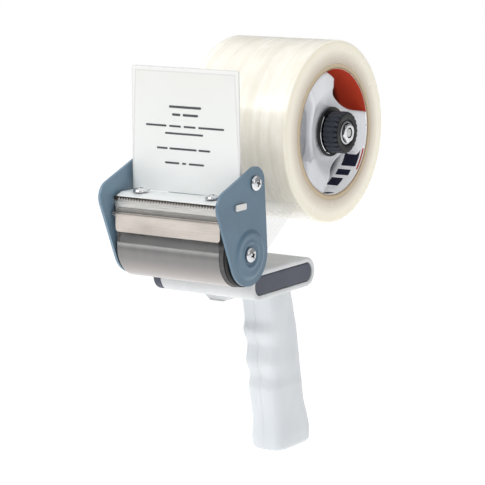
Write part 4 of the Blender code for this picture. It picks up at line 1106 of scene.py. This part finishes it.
def make_block():
    """Hollow crossbar, the small nose under it, its end caps and the frame's bolts."""
    near, far, wall, edge = 36.0, -30.0, 3.0, 1.1
    bar = [(wall, far + 0.2), (wall - 0.2, far), (0.3, far), (0, far + 0.3)]
    bar += [(0, x) for x in np.linspace(far + 3, near - 4, 6)]
    bar += [(edge * (1 - math.cos(a)), near - edge * (1 - math.sin(a)))
            for a in np.linspace(0, math.pi / 2, 7)]
    bar += [(wall - 0.5, near), (wall - 0.15, near - 0.15), (wall, near - 0.5), (wall, near - 3), (wall, 0.0)]
    block_piece("crossbar", WHITE, "handle_block", bar, True)
    corners = [(-12.5, 53.0), (-5.0, 45.8), (5.0, 45.8), (12.5, 53.0)]
    nose = prism("crossbar_nose", [fillet(corners, [0, 2.2, 2.2, 0], True, 8)], -59.0, -45.0, "Y")
    boolean(nose, prism("nose_hole", [arc((-2.6, 50.2), 0.55, 0, 330, 11)], -60.0, -55.0, "Y"))
    boolean(nose, prism("nose_line", [box_loop(-6.5, 6.5, 46.4, 46.9)], -60.0, -58.4, "Y"))
    round_edges(nose, 0.35, 3)
    finish(nose, WHITE, "frame")
    block_piece("near_cap", CAP, "near_end_cap", [
        (wall + 0.3, 31.0), (wall + 0.3, 34.9), (wall + 0.45, 35.3), (wall + 0.8, 35.5), (wall + 1.6, 35.52),
        (wall + 3.0, 35.52)])
    rim, start = 1.6, -34.4
    cap = [(wall + 0.3, -25.0), (wall + 0.3, -30.3), (0.5, -30.3), (0.2, -30.6), (0.2, start)]
    cap += [(0.2 + rim * (1 - math.cos(a)), start - rim * math.sin(a))
            for a in np.linspace(0.2, math.pi / 2, 7)]
    block_piece("far_cap", CAP, "far_end_cap", cap + [(4.0, start - rim)])
    for side, x in (("far", FAR_BOLT_X), ("near", NEAR_BOLT_X)):
        screw(side + "_button_bolt", side + "_frame_bolt", ZINC, BUTTON_HEAD,
              shift(x, BOLT_Y, BASE_TOP + 0.3) @ UPWARDS)


# Sections of the grip from the top down: z, front and back y, half width.
STATIONS = [
    (50.7, -25.1, 10.5, 11.3), (44.0, -22.4, 7.9, 11.3), (34.0, -19.9, 10.1, 11.5),
    (26.5, -18.6, 11.9, 11.6), (20.0, -20.0, 13.7, 11.8), (10.0, -16.1, 15.4, 11.6),
    (0.0, -17.1, 16.8, 12.0), (-10.0, -13.5, 18.7, 11.6), (-17.0, -14.9, 19.9, 11.9),
    (-21.5, -14.1, 20.6, 11.7), (-29.0, -12.4, 22.2, 11.6), (-40.0, -10.8, 26.1, 11.8),
    (-49.0, -11.2, 27.9, 12.3), (-54.5, -10.5, 27.9, 12.2), (-57.0, -8.0, 25.4, 10.9)]


def hermite(x, xs, ys):
    """Smooth curve through points without overshoot; xs rise."""
    slopes = np.diff(ys) / np.diff(xs)
    tangents = np.zeros(len(xs))
    tangents[0], tangents[-1] = slopes[0], slopes[-1]
    for i in range(1, len(xs) - 1):
        if slopes[i - 1] * slopes[i] > 0:
            tangents[i] = 2 * slopes[i - 1] * slopes[i] / (slopes[i - 1] + slopes[i])
    i = int(np.clip(np.searchsorted(xs, x) - 1, 0, len(xs) - 2))
    h = xs[i + 1] - xs[i]
    t = (x - xs[i]) / h
    return ((2 * t ** 3 - 3 * t ** 2 + 1) * ys[i] + (t ** 3 - 2 * t ** 2 + t) * h * tangents[i]
            + (-2 * t ** 3 + 3 * t ** 2) * ys[i + 1] + (t ** 3 - t ** 2) * h * tangents[i + 1])


def make_grip():
    """Two shells with finger ridges that meet in a hairline seam, and their screws."""
    table = np.array(sorted(STATIONS))
    foot = [(-57.0, 3.4), (-56.85, 2.2), (-56.4, 1.2), (-55.6, 0.45), (-54.8, 0.1)]
    screws = (("top", -4.0, 30.0), ("middle", 3.0, -10.0), ("bottom", 8.0, -42.0))
    count, squareness, seam = 120, 0.5, 0.015

    def section(z, inset):
        front, back, half = (hermite(max(z, -54.5), table[:, 0], table[:, k]) for k in (1, 2, 3))
        points = []
        for i in range(count):
            angle = 2 * math.pi * (i + 0.5) / count
            c, s = math.cos(angle), math.sin(angle)
            u = (half - inset) * math.copysign(abs(c) ** squareness, c)
            v = ((back - front) / 2 - inset) * math.copysign(abs(s) ** squareness, s)
            points.append((u, (front + back) / 2 + v, z))
        return points

    rings = [section(z, inset) for z, inset in foot]
    rings += [section(float(z), 0.0) for z in np.linspace(-54.0, 50.7, 150)]
    for label, low, high in (("near", -60, seam), ("far", -seam, 60)):
        shell = rings_mesh("grip_shell_" + label, rings, caps=True)
        boolean(shell, prism("half_space", [box_loop(-60, 60, -90, 90)], low, high))
        if label == "far":
            for _, y, z in screws:
                bore = [(0, -8.5), (3.6, -8.5), (3.6, -20), (0, -20)]
                boolean(shell, lathe("counterbore", bore, (y, z), 48))
        round_edges(shell, 0.04, 2, 50)
        finish(shell, GRIP, "frame", "grip_" + label, angle=45)
    for label, y, z in screws:
        screw(label + "_shell_screw", label + "_grip_screw", ZINC, SUNK_HEAD, shift(0, y, z))


# ---- stage

def area_light(name, place, size, power):
    """A square light turned to the object."""
    data = bpy.data.lights.new(name, "AREA")
    data.size = size
    data.energy = power
    obj = linked(name, data)
    obj.location = place
    obj.rotation_euler = (Vector((0, -0.02, 0.08)) - Vector(place)).to_track_quat("-Z", "Y").to_euler()


def make_stage():
    """Pale floor, a sky that brightens upwards, and two lights."""
    size, depth = 120000, -420
    corners = [(x, y, depth) for x, y in box_loop(-size, size, -size, size)]
    floor = new_object("floor", corners, [(0, 1, 2, 3)])
    n = Nodes("pale_floor", Roughness=0.9, Specular_IOR_Level=0.1, Emission_Color=(1, 1, 1, 1),
              Emission_Strength=0.47)
    n.link(n.mix(n.noise(0.01), (238.61, 238.61, 238.61), (241.05, 241.05, 241.05)), "Base Color")
    floor.data.materials.append(n.block)
    sky = Nodes("studio", "worlds", "Background", Color=(1, 1, 1, 1))
    upwards = sky.along("Z", sky.add("ShaderNodeTexCoord").outputs["Generated"])
    sky.link(sky.ramp(upwards, 0.50, 0.86, 0.36, 0.84, True), "Strength")
    bpy.context.scene.world = sky.block
    area_light("key", (-0.6, -1.45, 1.5), 1.2, 24.0)
    area_light("fill", (1.7, -0.7, 0.9), 1.0, 3.5)


def make_camera():
    """Camera by azimuth, elevation and roll."""
    data = bpy.data.cameras.new("camera")
    data.sensor_width = 36.0
    data.lens = 161.5067
    data.clip_start, data.clip_end = 0.05, 500.0
    camera = linked("camera", data)
    azimuth, elevation, roll = (math.radians(a) for a in (34.626, 10.19, -0.537))
    camera.matrix_world = (
        Matrix.Translation((0.7275346, -1.0853356, 0.3068079)) @ Matrix.Rotation(azimuth, 4, "Z")
        @ Matrix.Rotation(math.pi / 2 - elevation, 4, "X") @ Matrix.Rotation(roll, 4, "Z"))
    bpy.context.scene.camera = camera


make_plates()
make_plate_screws()
make_bars()
make_bracket_and_blade()
make_flap()
make_flap_print()
make_guard()
make_roller()
make_web()
make_roll()
make_core_print()
make_hub()
make_spindle()
make_brake()
make_knob()
make_block()
make_grip()
make_stage()
make_camera()
bpy.context.scene.view_settings.view_transform = "Standard"
